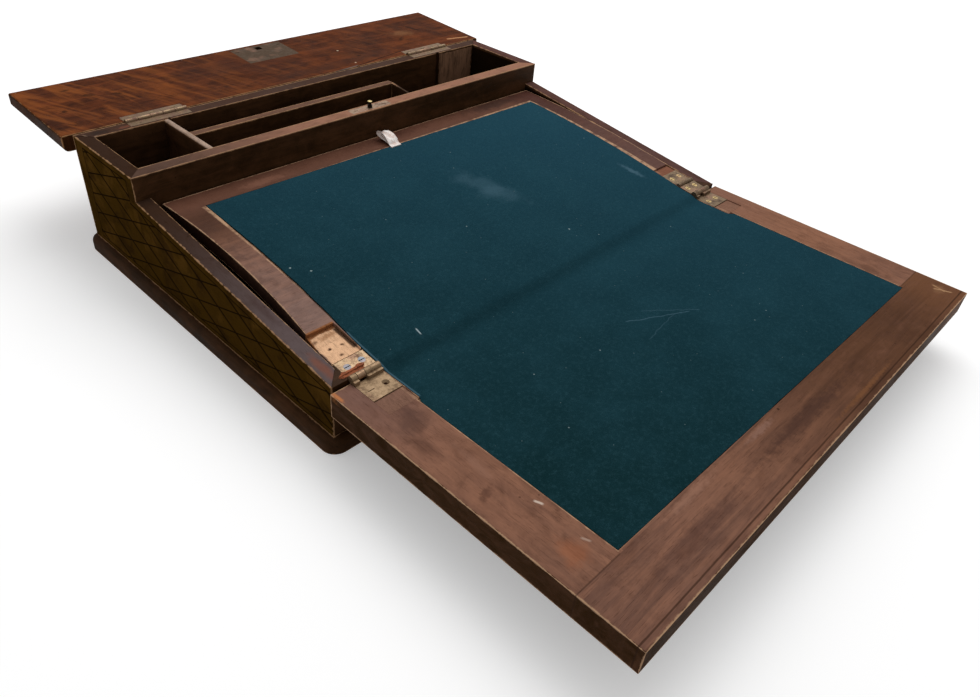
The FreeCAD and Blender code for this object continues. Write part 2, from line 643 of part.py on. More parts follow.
# Flap hinges. The middle leaf stands on the front board and carries both pins. The
# inner leaf turns on the rear pin, the outer leaf on the front pin. On the left the inner
# leaf, its pin and its knuckle are lost, and so is one screw of the outer leaf.
board_recesses = []
inner_recesses = []
outer_recesses = []
B_KNUCKLE = ("knuckle_short + knuckle_gap", "knuckle_mid")
END_KNUCKLES = [("0", "knuckle_short"),
                ("knuckle_last", "hinge_length - knuckle_last")]
INNER_FACE = "-axis_lift"
INNER_LINE = "-inner_axis_along"
OUTER_LINE = "-flap_axis_along"
for side, sign in (("left", "-1"), ("right", "1")):
    middle = sign + " * hinge_centre"
    start = "%s - hinge_length / 2" % middle
    edge = "%s - leaf_fit" % start
    wide = "hinge_length + 2 * leaf_fit"
    pair = ["(%s) - flap_screw_step" % middle, "(%s) + flap_screw_step" % middle]

    middle_blanks, middle_slots = screw_set(
        "middle_screw_" + side, SLOPE,
        [(x, "-inner_axis_along - middle_screw_row") for x in pair], "0")
    knuckle_x = "%s + %s" % (start, B_KNUCKLE[0])
    plate_front = "outer_barrel + barrel_clear - flap_axis_along"
    plate_rear = "-inner_axis_along - inner_barrel - barrel_clear"
    if side == "left":
        plate_rear = "-inner_axis_along - inner_axis_set"
    pieces = [
        box("middle_plate_" + side, SLOPE, (start, plate_front, "-leaf_thick"),
            ("hinge_length", "(%s) - (%s)" % (plate_rear, plate_front), "leaf_thick")),
        box("middle_web_" + side, SLOPE, (knuckle_x, OUTER_LINE, "-leaf_thick"),
            (B_KNUCKLE[1], "flap_axis_along + (%s)" % (plate_rear if side == "left" else INNER_LINE),
             "leaf_thick")),
        rod("middle_front_knuckle_" + side, SLOPE, (knuckle_x, OUTER_LINE, "axis_lift"),
            "outer_barrel", B_KNUCKLE[1])]
    eyes = [rod("middle_front_eye_" + side, SLOPE, (start, OUTER_LINE, "axis_lift"),
                "pin_radius", "hinge_length")]
    if side == "right":
        pieces.append(rod("middle_rear_knuckle", SLOPE, (knuckle_x, INNER_LINE, "axis_lift"),
                          "inner_barrel", B_KNUCKLE[1]))
        eyes.append(rod("middle_rear_eye", SLOPE, (start, INNER_LINE, "axis_lift"),
                        "pin_radius", "hinge_length"))
    solid = fuse("middle_leaf_" + side, pieces)
    node("flap_hinge_middle_" + side, cut("middle_leaf_cut_" + side, solid, eyes + middle_blanks))
    node("middle_screws_" + side, cut("middle_screws_cut_" + side,
                                      fuse("middle_screw_set_" + side, middle_blanks),
                                      middle_slots))
    node("outer_pin_" + side, rod("outer_pin_rod_" + side, SLOPE,
                                  (start, OUTER_LINE, "axis_lift"), "pin_radius", "hinge_length"))
    board_recesses += middle_blanks + [
        box("middle_recess_" + side, SLOPE, (edge, "-flap_axis_along - overrun", "-leaf_thick"),
            (wide, "flap_axis_along - inner_axis_along + 2 * overrun", "leaf_thick + overrun")),
        rod("front_barrel_recess_" + side, SLOPE, (edge, OUTER_LINE, "axis_lift"),
            "outer_barrel + barrel_clear", wide)]

    recess_reach = "scar_reach" if side == "left" else "inner_leaf_reach + leaf_fit"
    inner_recesses.append(box("inner_leaf_recess_" + side, INNER_AXIS,
                              (edge, "-overrun", "-axis_lift - leaf_thick"),
                              (wide, "%s + overrun" % recess_reach, "leaf_thick + overrun")))
    if side == "right":
        board_recesses.append(rod("rear_barrel_recess", SLOPE, (edge, INNER_LINE, "axis_lift"),
                                  "inner_barrel + barrel_clear", wide))
        inner_recesses += [
            box("inner_scar", INNER_AXIS, (edge, "0", "-axis_lift - scar_depth"),
                (wide, "scar_reach", "scar_depth + overrun")),
            rod("inner_barrel_recess", INNER_AXIS, (edge, "0", "0"),
                "inner_barrel + barrel_clear", wide)]
        node("inner_pin_right", rod("inner_pin_rod", SLOPE, (start, INNER_LINE, "axis_lift"),
                                    "pin_radius", "hinge_length"))
        inner_blanks, inner_slots = screw_set(
            "inner_screw", INNER_AXIS, [(x, "inner_screw_row") for x in pair], INNER_FACE)
        solid, eye = leaf("inner_leaf", INNER_AXIS, 1, middle, "hinge_length",
                          "inner_leaf_reach", INNER_FACE, "inner_barrel", END_KNUCKLES,
                          "pin_radius + pin_clear")
        node("flap_hinge_inner_right", cut("inner_leaf_cut", solid, [eye] + inner_blanks))
        node("inner_screws_right", cut("inner_screws_cut",
                                       fuse("inner_screw_set", inner_blanks), inner_slots))
        inner_recesses += inner_blanks

    outer_blanks, outer_slots = screw_set(
        "outer_screw_" + side, OUTER_AXIS, [(x, "-outer_screw_row") for x in pair], "-flap_drop")
    solid, eye = leaf("outer_leaf_" + side, OUTER_AXIS, -1, middle, "hinge_length",
                      "outer_leaf_reach", "-flap_drop", "outer_barrel", END_KNUCKLES,
                      "pin_radius + pin_clear", drop=True)
    node("flap_hinge_outer_" + side, cut("outer_leaf_cut_" + side, solid, [eye] + outer_blanks))
    if side == "left":
        kept_screws = outer_blanks[0]
    else:
        kept_screws = fuse("outer_screw_set", outer_blanks)
    node("outer_screws_" + side, cut("outer_screws_cut_" + side, kept_screws, outer_slots))
    outer_recesses.append(outer_blanks + [
        box("outer_leaf_recess_" + side, OUTER_AXIS,
            (edge, "-outer_leaf_reach - leaf_fit", "-flap_drop - leaf_thick"),
            (wide, "outer_leaf_reach + leaf_fit", "leaf_thick + overrun")),
        box("outer_scar_" + side, OUTER_AXIS, (edge, "-outer_scar_reach", "-flap_drop - scar_depth"),
            (wide, "outer_scar_reach", "scar_depth + overrun"))])

# Front board: outer layer mitred to the sides, inner layer between them, top on the slope.
front = board("front", (
    ("-half_width", "-half_length"), ("half_width", "-half_length"),
    ("inner_half", "wall - half_length"), ("inner_half", "front_inner"),
    ("-inner_half", "front_inner"), ("-inner_half", "wall - half_length")), "rim_height")
front_top = outline(front, "front_top", "YZ_Plane", SLOPE_CUT)
pocket(front, "front_top_cut", front_top, "2 * case_width", both=True)
FRONT_LINE = "-(rail_front + half_length) / slope_cos"
REAR_LINE = "-(rail_front - front_inner) / slope_cos"
felt_slab = box("rail_felt_slab", SLOPE, ("-felt_half", "%s - overrun" % FRONT_LINE, "-felt_sunk"),
                ("2 * felt_half", "(%s) - (%s) + 2 * overrun" % (REAR_LINE, FRONT_LINE),
                 "felt_sunk + overrun"))
node("front_board", cut("front_cut", front, [felt_slab] + board_recesses))
node("rail_felt", box("rail_felt_box", SLOPE,
                      ("-felt_half", "%s + barrel_clear" % FRONT_LINE, "-felt_sunk"),
                      ("2 * felt_half", "(%s) - (%s) - 2 * barrel_clear" % (REAR_LINE, FRONT_LINE),
                       "felt_thick")))


# Inner flap: a board bowed along the slope, sunk at its rear edge.
def bowed(name, top_shift, low_shift, half):
    """A bowed strip between two arcs that follow the warped board."""
    body = new_body(name)
    sketch = attach(body, name + "_bow", "YZ_Plane", None)
    stations = (("-inner_rear", "-inner_sink"), ("-inner_middle", "inner_crown"),
                ("-inner_axis_along + inner_front", "0"))
    for shift in (top_shift, low_shift):
        spots = [FreeCAD.Vector(number(y), number("(%s) + (%s)" % (z, shift)), 0)
                 for y, z in stations]
        sketch.addGeometry(Part.Arc(*spots), False)
    for index in (0, 1):
        first = sketch.Geometry[0]
        second = sketch.Geometry[1]
        ends = ((first.StartPoint, second.StartPoint), (first.EndPoint, second.EndPoint))
        sketch.addGeometry(Part.LineSegment(*ends[index]), False)
    for index in (0, 1):
        sketch.addConstraint(Sketcher.Constraint("Coincident", 2 + index, 1, 0, 1 + index))
        sketch.addConstraint(Sketcher.Constraint("Coincident", 2 + index, 2, 1, 1 + index))
    for curve, shift in ((0, top_shift), (1, low_shift)):
        for end, (y, z) in ((1, stations[0]), (2, stations[2])):
            pin_point(sketch, curve, end, y, "(%s) + (%s)" % (z, shift))
        y, z = stations[1]
        mark = sketch.addGeometry(
            Part.Point(FreeCAD.Vector(number(y), number("(%s) + (%s)" % (z, shift)), 0)), True)
        pin_point(sketch, mark, 1, y, "(%s) + (%s)" % (z, shift))
        sketch.addConstraint(Sketcher.Constraint("PointOnObject", mark, 1, curve))
    pad(body, name + "_pad", sketch, "2 * (%s)" % half, both=True)
    return put(body, SLOPE)


panel = bowed("inner_panel", "0", "-inner_thick", "inner_half_flap")
felt_zone = put(board("inner_felt_zone", (
    ("-felt_half", "-inner_axis_along"), ("felt_half", "-inner_axis_along"),
    ("felt_half + felt_spread", "-felt_rear"), ("felt_skew - felt_half", "-felt_rear")),
    "2 * inner_thick", "-inner_thick"), SLOPE)
felt_hollow = shared("inner_felt_hollow", bowed("inner_hollow", "overrun", "-felt_sunk",
                                                "inner_half_flap"), felt_zone)
node("inner_flap_panel", cut("inner_panel_cut", panel, [felt_hollow] + inner_recesses))
node("inner_felt", shared("inner_felt_piece", bowed(
    "inner_felt_bow", "felt_thick - felt_sunk", "-felt_sunk", "inner_half_flap"), felt_zone))

# Pull ribbon: a folded loop that comes out from under the rear edge of the felt.
ribbon_zone = box("ribbon_zone", SLOPE,
                  ("ribbon_centre - ribbon_width / 2", "-felt_rear", "-inner_thick"),
                  ("ribbon_width", "ribbon_reach", "2 * inner_thick"))
node("ribbon_pull", shared("ribbon_piece", bowed("ribbon_bow", "ribbon_thick", "0",
                                                 "inner_half_flap"), ribbon_zone))

# Outer flap: a core with stiles, a full-width front member and a lipping.
FLAP_LOW = "-flap_drop - flap_thick"
flap_half = "flap_width / 2"


def flap_board(name, x0, x1, far, close):
    """A plain board of the outer flap between two widths and two distances."""
    return box(name, OUTER_AXIS, (x0, "-(%s)" % far, FLAP_LOW),
               ("(%s) - (%s)" % (x1, x0), "(%s) - (%s)" % (far, close), "flap_thick"))


def outer_felt_zone(name, height):
    """The outer felt's outline: narrow between the hinges, wider past them."""
    left = "-felt_half - felt_wide_left"
    right = "felt_half + felt_wide_right"
    return put(board(name, (
        ("-felt_half", "-flap_start"), ("-felt_half", "-outer_scar_reach"),
        (left, "-outer_scar_reach"), (left, "-felt_end"),
        (right, "-felt_end - felt_slew"), (right, "-outer_scar_reach"),
        ("felt_half", "-outer_scar_reach"), ("felt_half", "-flap_start")),
        height, "-flap_drop - felt_sunk"), OUTER_AXIS)


outer_felt_hollow = outer_felt_zone("outer_felt_hollow", "felt_sunk + overrun")
node("outer_flap_core", cut("outer_core_cut", flap_board(
    "outer_core", "-felt_half", "felt_half", "frame_joint", "flap_start"), [outer_felt_hollow]))
node("outer_flap_stile_left", cut("stile_left_cut", flap_board(
    "stile_left", "-(%s)" % flap_half, "-felt_half", "frame_joint", "flap_start"),
    outer_recesses[0] + [outer_felt_hollow]))
node("outer_flap_stile_right", cut("stile_right_cut", flap_board(
    "stile_right", "felt_half", flap_half, "frame_joint", "flap_start"),
    outer_recesses[1] + [outer_felt_hollow]))
node("outer_flap_front_member", cut("front_member_cut", flap_board(
    "front_member", "-(%s)" % flap_half, flap_half, "flap_end - lipping", "frame_joint"),
    [outer_felt_hollow]))
node("outer_flap_lipping", flap_board(
    "lipping_strip", "-(%s)" % flap_half, flap_half, "flap_end", "flap_end - lipping"))
node("outer_felt", outer_felt_zone("outer_felt_piece", "felt_thick"))

# Pen tray: a long wall, a bed and a thin end slip, lifted out as one.
node("tray_back_wall", box("tray_wall_box", CASE, ("tray_left", "tray_back", "base_thick + tray_seat"),
                           ("tray_end - tray_left", "tray_wall",
                            "tray_top - base_thick - tray_seat")))
node("tray_bed_board", box("tray_bed_box", CASE, ("tray_left", "tray_front", "tray_bed"),
                           ("tray_end - tray_left", "tray_bay", "tray_floor")))
node("tray_end_slip", prism("tray_slip_prism", (
    ("tray_front", "tray_bed + tray_floor"), ("tray_back", "tray_bed + tray_floor"),
    ("tray_back", "tray_top"), ("tray_front", "tray_top - tray_fall")),
    "tray_slip", "tray_end - tray_slip"))
node("tray_rest_strip", box("tray_rest_box", CASE,
                            ("tray_left", "rail_back", "tray_bed - tray_seat - tray_rest"),
                            ("tray_end - tray_left", "tray_rest + tray_clear", "tray_rest")))

# Lid: a rounded board with recesses for the hinges, the lock plate and the lock.
lid = board("lid", rectangle("-lid_width / 2", "lid_offset", "lid_width / 2", "lid_reach"),
            "lid_thick", "-lid_gap", back=True)


def lid_edge(level):
    return lambda edge: (
        near(edge.BoundBox.ZMin, number(level)) and near(edge.BoundBox.ZMax, number(level))
        and (near(abs(edge.CenterOfMass.x), number("lid_width / 2"))
             or near(edge.CenterOfMass.y, number("lid_reach"))))


round_edges(lid, "lid_outer_round", "lid_nose", lid_edge("-lid_gap - lid_thick"))
round_edges(lid, "lid_inner_round", "lid_ease", lid_edge("-lid_gap"))
put(lid, LID_AXIS)
LOCK_FAR = "pin_line + lock_margin"
LOCK_TOP = "-lid_gap - plate_thick"
plate = box("lock_plate_box", LID_AXIS,
            ("lock_centre - plate_length / 2", "pin_line + plate_margin - plate_width", LOCK_TOP),
            ("plate_length", "plate_width", "plate_thick"))
square = box("lock_plate_square", LID_AXIS,
             ("lock_centre - plate_hole / 2", "pin_line - plate_hole / 2", "%s - overrun" % LOCK_TOP),
             ("plate_hole", "plate_hole", "plate_thick + 2 * overrun"))
plate_blanks, plate_slots = screw_set("plate_screw", LID_AXIS, [
    ("lock_centre - plate_screw_x", "pin_line"), ("lock_centre + plate_screw_x", "pin_line")],
    "-lid_gap")
case_box = box("lock_case_box", LID_AXIS,
               ("lock_centre - lock_length / 2", "%s - lock_width" % LOCK_FAR,
                "%s - lock_depth" % LOCK_TOP), ("lock_length", "lock_width", "lock_depth"))
case_room = box("lock_case_room", LID_AXIS,
                ("lock_centre - lock_length / 2 + lock_wall",
                 "%s - lock_width + lock_wall" % LOCK_FAR, "%s - lock_depth + lock_wall" % LOCK_TOP),
                ("lock_length - 2 * lock_wall", "lock_width - 2 * lock_wall", "lock_depth"))
KEY_Y = "pin_line - key_row"
LID_OUT = "-lid_gap - lid_thick"
key_hole = fuse("key_hole", [
    post("key_hole_round", LID_AXIS, ("lock_centre", KEY_Y, "%s - overrun" % LID_OUT),
         "key_radius", "lid_thick - plate_thick"),
    box("key_hole_slot", LID_AXIS, ("lock_centre - key_slot / 2", "%s - key_slot_reach" % KEY_Y,
                                    "%s - overrun" % LID_OUT),
        ("key_slot", "key_slot_reach", "lid_thick - plate_thick"))])
key_plate = post("key_plate_disc", LID_AXIS, ("lock_centre", KEY_Y, LID_OUT), "key_plate",
                 "key_plate_thick")
node("lid_panel", cut("lid_cut", lid, lid_recesses + plate_blanks + [
    plate, case_box, key_hole, key_plate]))
node("lock_plate", cut("lock_plate_cut", plate, [square] + plate_blanks))
node("lock_plate_screws", cut("plate_screws_cut", fuse("plate_screw_set", plate_blanks),
                              plate_slots))
node("lock_case", cut("lock_case_cut", case_box, [case_room, key_hole]))
node("keyhole_plate", cut("key_plate_cut", key_plate, [key_hole]))

# Lock bolt: a forked bar that slides under the head of the catch pin, with a notched
# tail for the key.
BOLT_TOP = "lid_gap - neck_start - bolt_play"
bolt_bar = box("bolt_bar", LID_AXIS,
               ("lock_centre - bolt_start", "pin_line - bolt_width / 2", "%s - bolt_thick" % BOLT_TOP),
               ("bolt_start - bolt_tip", "bolt_width", "bolt_thick"))
talon = box("bolt_talon", LID_AXIS,
            ("lock_centre - bolt_start", "pin_line - bolt_width / 2 - talon_reach",
             "%s - bolt_thick" % BOLT_TOP), ("talon_width", "talon_reach", "bolt_thick"))
fork = box("bolt_fork", LID_AXIS,
           ("lock_centre - bolt_tip - fork_depth", "pin_line - catch_neck - bolt_play",
            "%s - overrun" % BOLT_TOP),
           ("fork_depth + overrun", "2 * (catch_neck + bolt_play)", "2 * overrun"))
notch = box("bolt_notch", LID_AXIS,
            ("lock_centre - bolt_start + (talon_width - talon_notch) / 2",
             "pin_line - bolt_width / 2 - talon_reach - overrun", "%s - overrun" % BOLT_TOP),
            ("talon_notch", "talon_notch + overrun", "2 * overrun"))
node("lock_bolt", cut("bolt_cut", fuse("bolt_solid", [bolt_bar, talon]), [fork, notch]))

doc.recompute()
sheet.clear(answer_cell)
doc.recompute()

faults = []
for thing in doc.Objects:
    if "Invalid" in thing.State or "Error" in thing.State:
        faults.append("%s %s" % (thing.Label, thing.State))
for thing in nodes:
    if thing.Shape.isNull() or not thing.Shape.isValid() or not thing.Shape.Solids:
        faults.append("%s has no valid solid" % thing.Label)
if faults:
    raise RuntimeError("; ".join(faults))

os.makedirs("parts", exist_ok=True)
for thing in nodes:
    thing.Shape.exportStep("parts/%s.step" % thing.Label)
    print(thing.Label, len(thing.Shape.Solids), round(thing.Shape.Volume, 1))
print("nodes", len(nodes))
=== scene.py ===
"""Looks of the folding writing desk, laid around its constructed frame.

Run as a script by Blender. Places are in metres in the row frame: X to the right, Y to the rear, Z up.
Names that end in _mm are millimetres, and patterns in the materials are in millimetres too.
"""
import math

import bmesh
import bpy
from bpy.props import FloatProperty, FloatVectorProperty, PointerProperty
from bpy.types import Operator, Panel, PropertyGroup
from mathutils import Matrix, Vector, noise


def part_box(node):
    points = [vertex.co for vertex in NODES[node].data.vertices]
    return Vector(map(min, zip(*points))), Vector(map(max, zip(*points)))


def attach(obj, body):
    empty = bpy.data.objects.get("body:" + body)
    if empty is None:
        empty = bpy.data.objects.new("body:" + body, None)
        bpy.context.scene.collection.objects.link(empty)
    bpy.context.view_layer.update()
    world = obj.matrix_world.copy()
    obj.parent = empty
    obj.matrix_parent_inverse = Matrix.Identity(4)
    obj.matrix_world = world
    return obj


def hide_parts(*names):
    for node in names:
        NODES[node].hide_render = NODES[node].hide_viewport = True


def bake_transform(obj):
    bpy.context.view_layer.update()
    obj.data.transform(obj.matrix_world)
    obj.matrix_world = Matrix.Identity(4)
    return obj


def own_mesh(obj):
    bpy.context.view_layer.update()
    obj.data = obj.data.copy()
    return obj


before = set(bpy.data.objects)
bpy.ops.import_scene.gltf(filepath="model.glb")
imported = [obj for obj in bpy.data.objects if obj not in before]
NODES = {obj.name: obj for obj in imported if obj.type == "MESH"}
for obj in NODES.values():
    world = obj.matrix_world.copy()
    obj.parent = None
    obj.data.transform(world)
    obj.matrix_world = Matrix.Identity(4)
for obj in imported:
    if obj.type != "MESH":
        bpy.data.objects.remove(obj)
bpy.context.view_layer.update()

bl_info = {
    "name": "Writing desk",
    "version": (1, 0, 0),
    "blender": (4, 5, 0),
    "location": "3D View > Sidebar > Desk",
    "description": "Felt, worn wood, brass and small pieces for a folding writing desk",
    "category": "Object",
}

MM = 0.001

# The slope on which the inner flap lies: its top line on the rail and its fall to the front.
SLOPE_TOP_MM = 60.7
SLOPE_FALL = math.radians(6.8)
RAIL_FRONT_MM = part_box("well_rail")[0].y / MM
RIM_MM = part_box("side_left")[1].z / MM
SLOPE = Matrix.Translation((0.0, RAIL_FRONT_MM * MM, SLOPE_TOP_MM * MM)) @ Matrix.Rotation(SLOPE_FALL, 4, "X")

# The open lid lies back a little above level, about its hinge line.
LID_LINE_MM = (122.7, 75.15)
LID_RISE = math.radians(2.5)
LID = Matrix.Translation((0.0, LID_LINE_MM[0] * MM, LID_LINE_MM[1] * MM)) @ Matrix.Rotation(LID_RISE, 4, "X")

# Height of the warped inner flap over the slope, at three distances down it, as constructed. Its left edge is
# worn hollow, most at one distance down the slope.
BOW_MM = ((2.6, -4.3), (79.9, 0.7), (162.3, 0.0))
HOLLOW_MM = 6.2
HOLLOW_AT_MM = 58.0
HOLLOW_REACH_MM = 94.0


def linear(share):
    """A screen value from 0 to 1 as linear light."""
    return share / 12.92 if share <= 0.04045 else ((share + 0.055) / 1.055) ** 2.4


def tone(red, green, blue):
    """A colour from the 0 to 255 values that a screen shows."""
    return tuple(linear(part / 255) for part in (red, green, blue))


def darker(colour, share):
    """A colour with this share of its light."""
    return tuple(part * share for part in colour)


def colour_setting(name, description, default):
    """A colour that the user may change."""
    return FloatVectorProperty(
        name=name, description=description, subtype="COLOR", size=3, min=0.0, max=1.0, default=default
    )


def length_setting(name, description, default_mm):
    """A length that the user may change."""
    return FloatProperty(
        name=name, description=description, unit="LENGTH", precision=5, default=default_mm * MM
    )


def number_setting(name, description, default):
    """A number that the user may change."""
    return FloatProperty(name=name, description=description, default=default)


class CaseWood(PropertyGroup):
    """Dark polished wood of the case."""

    dark: colour_setting("Dark", "Dark streaks of the case", tone(46, 29, 13))
    light: colour_setting("Light", "Light streaks of the case", tone(78, 50, 30))
    # The side colour is partly painted shade: olive brown, made dark for the shade on the outer faces of the
    # sides.
    side: colour_setting("Side", "Olive brown of the side boards", tone(65, 45, 12))
    # Partly painted light: the tone of lit top faces, set apart from the shaded sides.
    top: colour_setting("Top", "Worn top edges of the case", tone(112, 78, 60))
    edge: colour_setting("Edge", "Rubbed arrises of the case", tone(196, 152, 112))
    # Colour that darkens the lines cut into the side boards.
    groove_dark: colour_setting("Grime", "Dirt in the cut lines", tone(22, 13, 5))


class LidWood(PropertyGroup):
    """Figured brown wood of the lid."""

    dark: colour_setting("Dark", "Dark figure of the lid", tone(55, 27, 15))
    light: colour_setting("Light", "Light figure of the lid", tone(108, 56, 30))
    edge: colour_setting("Edge", "Rubbed arrises of the lid", tone(190, 140, 95))


class FlapWood(PropertyGroup):
    """Brown wood of the two writing flaps."""

    dark: colour_setting("Dark", "Dark streaks of the flaps", tone(92, 58, 42))
    light: colour_setting("Light", "Light streaks of the flaps", tone(148, 100, 74))
    edge: colour_setting("Edge", "Rubbed arrises of the flaps", tone(206, 165, 130))
    bare: colour_setting("Bare", "Torn bare wood under a lost hinge", tone(250, 200, 158))


class FeltLook(PropertyGroup):
    """Teal felt of the writing surface."""

    thickness: length_setting("Thickness", "Thickness of the felt", 0.9)
    sunk: length_setting("Sunk", "How far the felt lies below the wood", 0.15)
    # The rear and front felt colours are partly painted light: the felt is lit more near the rail.
    light: colour_setting("Rear", "Felt near the rail", tone(35, 71, 86))
    dark: colour_setting("Front", "Felt near the free edge", tone(19, 46, 50))
    lint: colour_setting("Lint", "Specks of lint", tone(150, 170, 170))


class MetalLook(PropertyGroup):
    """Tarnished brass and dull steel."""

    brass: colour_setting("Brass", "Worn brass", tone(132, 110, 84))
    tarnish: colour_setting("Tarnish", "Tarnish on the brass", tone(80, 58, 38))
    plate: colour_setting("Lock plate", "Olive brass of the lock", tone(75, 54, 32))
    steel: colour_setting("Steel", "Dull steel", tone(108, 111, 117))
    rust: colour_setting("Rust", "Rust at the left hinge", tone(166, 92, 54))


class RibbonLook(PropertyGroup):
    """Pull ribbon of the inner flap."""

    width: length_setting("Width", "Width of the ribbon", 10.0)
    light: colour_setting("Light", "Clean ribbon", tone(255, 250, 245))
    dark: colour_setting("Dark", "Soiled folds of the ribbon", tone(226, 202, 190))


class StageLook(PropertyGroup):
    """Camera, floor and lamps."""

    eye: FloatVectorProperty(
        name="Camera", description="Place of the camera", subtype="TRANSLATION", size=3,
        default=(-0.32779, -0.34524, 0.28128),
    )
    aim: FloatVectorProperty(
        name="Aim", description="Turn of the camera", subtype="EULER", size=3,
        default=tuple(math.radians(angle) for angle in (52.113, -4.463, -45.905)),
    )
    lens: number_setting("Lens", "Focal length in millimetres on a 36 mm frame", 28.899)
    shift_x: number_setting("Shift across", "Sideways shift of the frame", 0.009694)
    shift_y: number_setting("Shift up", "Upward shift of the frame", -0.006531)
    floor: colour_setting("Floor", "Floor and backdrop", tone(240, 240, 240))
    glow: number_setting("Floor glow", "Light that the floor adds where the camera sees it", 0.32)
    key: number_setting("Key lamp", "Power of the main lamp in watts", 15.0)
    world: number_setting("World", "Strength of the light from all round", 0.42)


LOOKS = {
    "desk_case": CaseWood,
    "desk_lid": LidWood,
    "desk_flap": FlapWood,
    "desk_felt": FeltLook,
    "desk_metal": MetalLook,
    "desk_ribbon": RibbonLook,
    "desk_stage": StageLook,
}


class Paint:
    """Adds shader nodes to one tree and joins them."""

    def __init__(self, tree):
        self.tree = tree

    def feed(self, socket, value):
        """Joins another socket to this one, or sets its value."""
        if isinstance(value, bpy.types.NodeSocket):
            self.tree.links.new(value, socket)
        elif socket.type == "RGBA" and len(value) == 3:
            socket.default_value = (*value, 1.0)
        else:
            socket.default_value = value

    def node(self, kind, settings=None, inputs=None):
        """A new node with its settings and inputs."""
        made = self.tree.nodes.new(kind)
        for name, value in (settings or {}).items():
            setattr(made, name, value)
        for name, value in (inputs or {}).items():
            self.feed(made.inputs[name], value)
        return made

    def math(self, operation, *values, clamp=False):
        """One sum on numbers."""
        made = self.node("ShaderNodeMath", {"operation": operation, "use_clamp": clamp})
        for socket, value in zip(made.inputs, values):
            self.feed(socket, value)
        return made.outputs[0]

    def plus(self, first, second):
        """Two numbers added."""
        return self.math("ADD", first, second)

    def minus(self, first, second):
        """The second number taken from the first."""
        return self.math("SUBTRACT", first, second)

    def times(self, first, second):
        """Two numbers multiplied."""
        return self.math("MULTIPLY", first, second)

    def over(self, first, second):
        """The first number divided by the second."""
        return self.math("DIVIDE", first, second)

    def times_plus(self, first, second, third, clamp=False):
        """Two numbers multiplied and a third added, kept from 0 to 1 where asked."""
        return self.math("MULTIPLY_ADD", first, second, third, clamp=clamp)

    def vector(self, operation, *values):
        """One sum on vectors."""
        made = self.node("ShaderNodeVectorMath", {"operation": operation})
        for socket, value in zip(made.inputs, values):
            self.feed(socket, value)
        return made.outputs[0]

    def parts(self, vector):
        """The three parts of a vector."""
        return self.node("ShaderNodeSeparateXYZ", None, {"Vector": vector}).outputs

    def join(self, x, y, z):
        """A vector from three parts."""
        return self.node("ShaderNodeCombineXYZ", None, {"X": x, "Y": y, "Z": z}).outputs[0]

    def blend(self, share, first, second):
        """A colour between two colours."""
        made = self.node("ShaderNodeMix", {"data_type": "RGBA", "clamp_factor": True})
        self.feed(made.inputs[0], share)
        self.feed(made.inputs[6], first)
        self.feed(made.inputs[7], second)
        return made.outputs[2]

    def noise(self, position, size_mm, detail=3.0, rough=0.5, twist=0.0):
        """Cloudy noise with features of this size."""
        settings = {"noise_dimensions": "3D", "normalize": True}
        inputs = {
            "Vector": position,
            "Scale": 1.0 / size_mm,
            "Detail": detail,
            "Roughness": rough,
            "Distortion": twist,
        }
        return self.node("ShaderNodeTexNoise", settings, inputs).outputs["Fac"]

    def step(self, value, low, high, start=0.0, end=1.0):
        """A smooth step between two values."""
        settings = {"interpolation_type": "SMOOTHSTEP"}
        inputs = {"Value": value, "From Min": low, "From Max": high, "To Min": start, "To Max": end}
        return self.node("ShaderNodeMapRange", settings, inputs).outputs["Result"]

    def place(self, frame_matrix=None):
        """Millimetres on the piece, in a frame of its own where one is given."""
        where = self.node("ShaderNodeTexCoord").outputs["Object"]
        if frame_matrix is not None:
            inputs = {
                "Vector": where,
                "Location": frame_matrix.to_translation(),
                "Rotation": frame_matrix.to_euler(),
            }
            where = self.node("ShaderNodeMapping", {"vector_type": "TEXTURE"}, inputs).outputs[0]
        return self.vector("MULTIPLY", where, (1 / MM, 1 / MM, 1 / MM))

    def effect(self, name, **inputs):
        """One of the shared effects, with its own values."""
        tree = bpy.data.node_groups.get(name)
        if tree is None:
            tree = EFFECTS[name](name)
        made = self.node("ShaderNodeGroup", {"node_tree": tree})
        for key, value in inputs.items():
            self.feed(made.inputs[key], value)
        return made.outputs

    def bump(self, height, strength=1.0):
        """Raises the surface by a height in millimetres."""
        inputs = {"Height": height, "Distance": MM, "Strength": strength}
        return self.node("ShaderNodeBump", None, inputs).outputs[0]


def effect_tree(name, inlets, outlets):
    """An empty node group with named sockets, the paint for it, and its two ends."""
    tree = bpy.data.node_groups.new(name, "ShaderNodeTree")
    for label, kind in inlets:
        tree.interface.new_socket(label, in_out="INPUT", socket_type=kind)
    for label, kind in outlets:
        tree.interface.new_socket(label, in_out="OUTPUT", socket_type=kind)
    paint = Paint(tree)
    start = paint.node("NodeGroupInput").outputs
    end = paint.node("NodeGroupOutput").inputs
    return tree, paint, start, end


NUMBER = "NodeSocketFloat"
VECTOR = "NodeSocketVector"


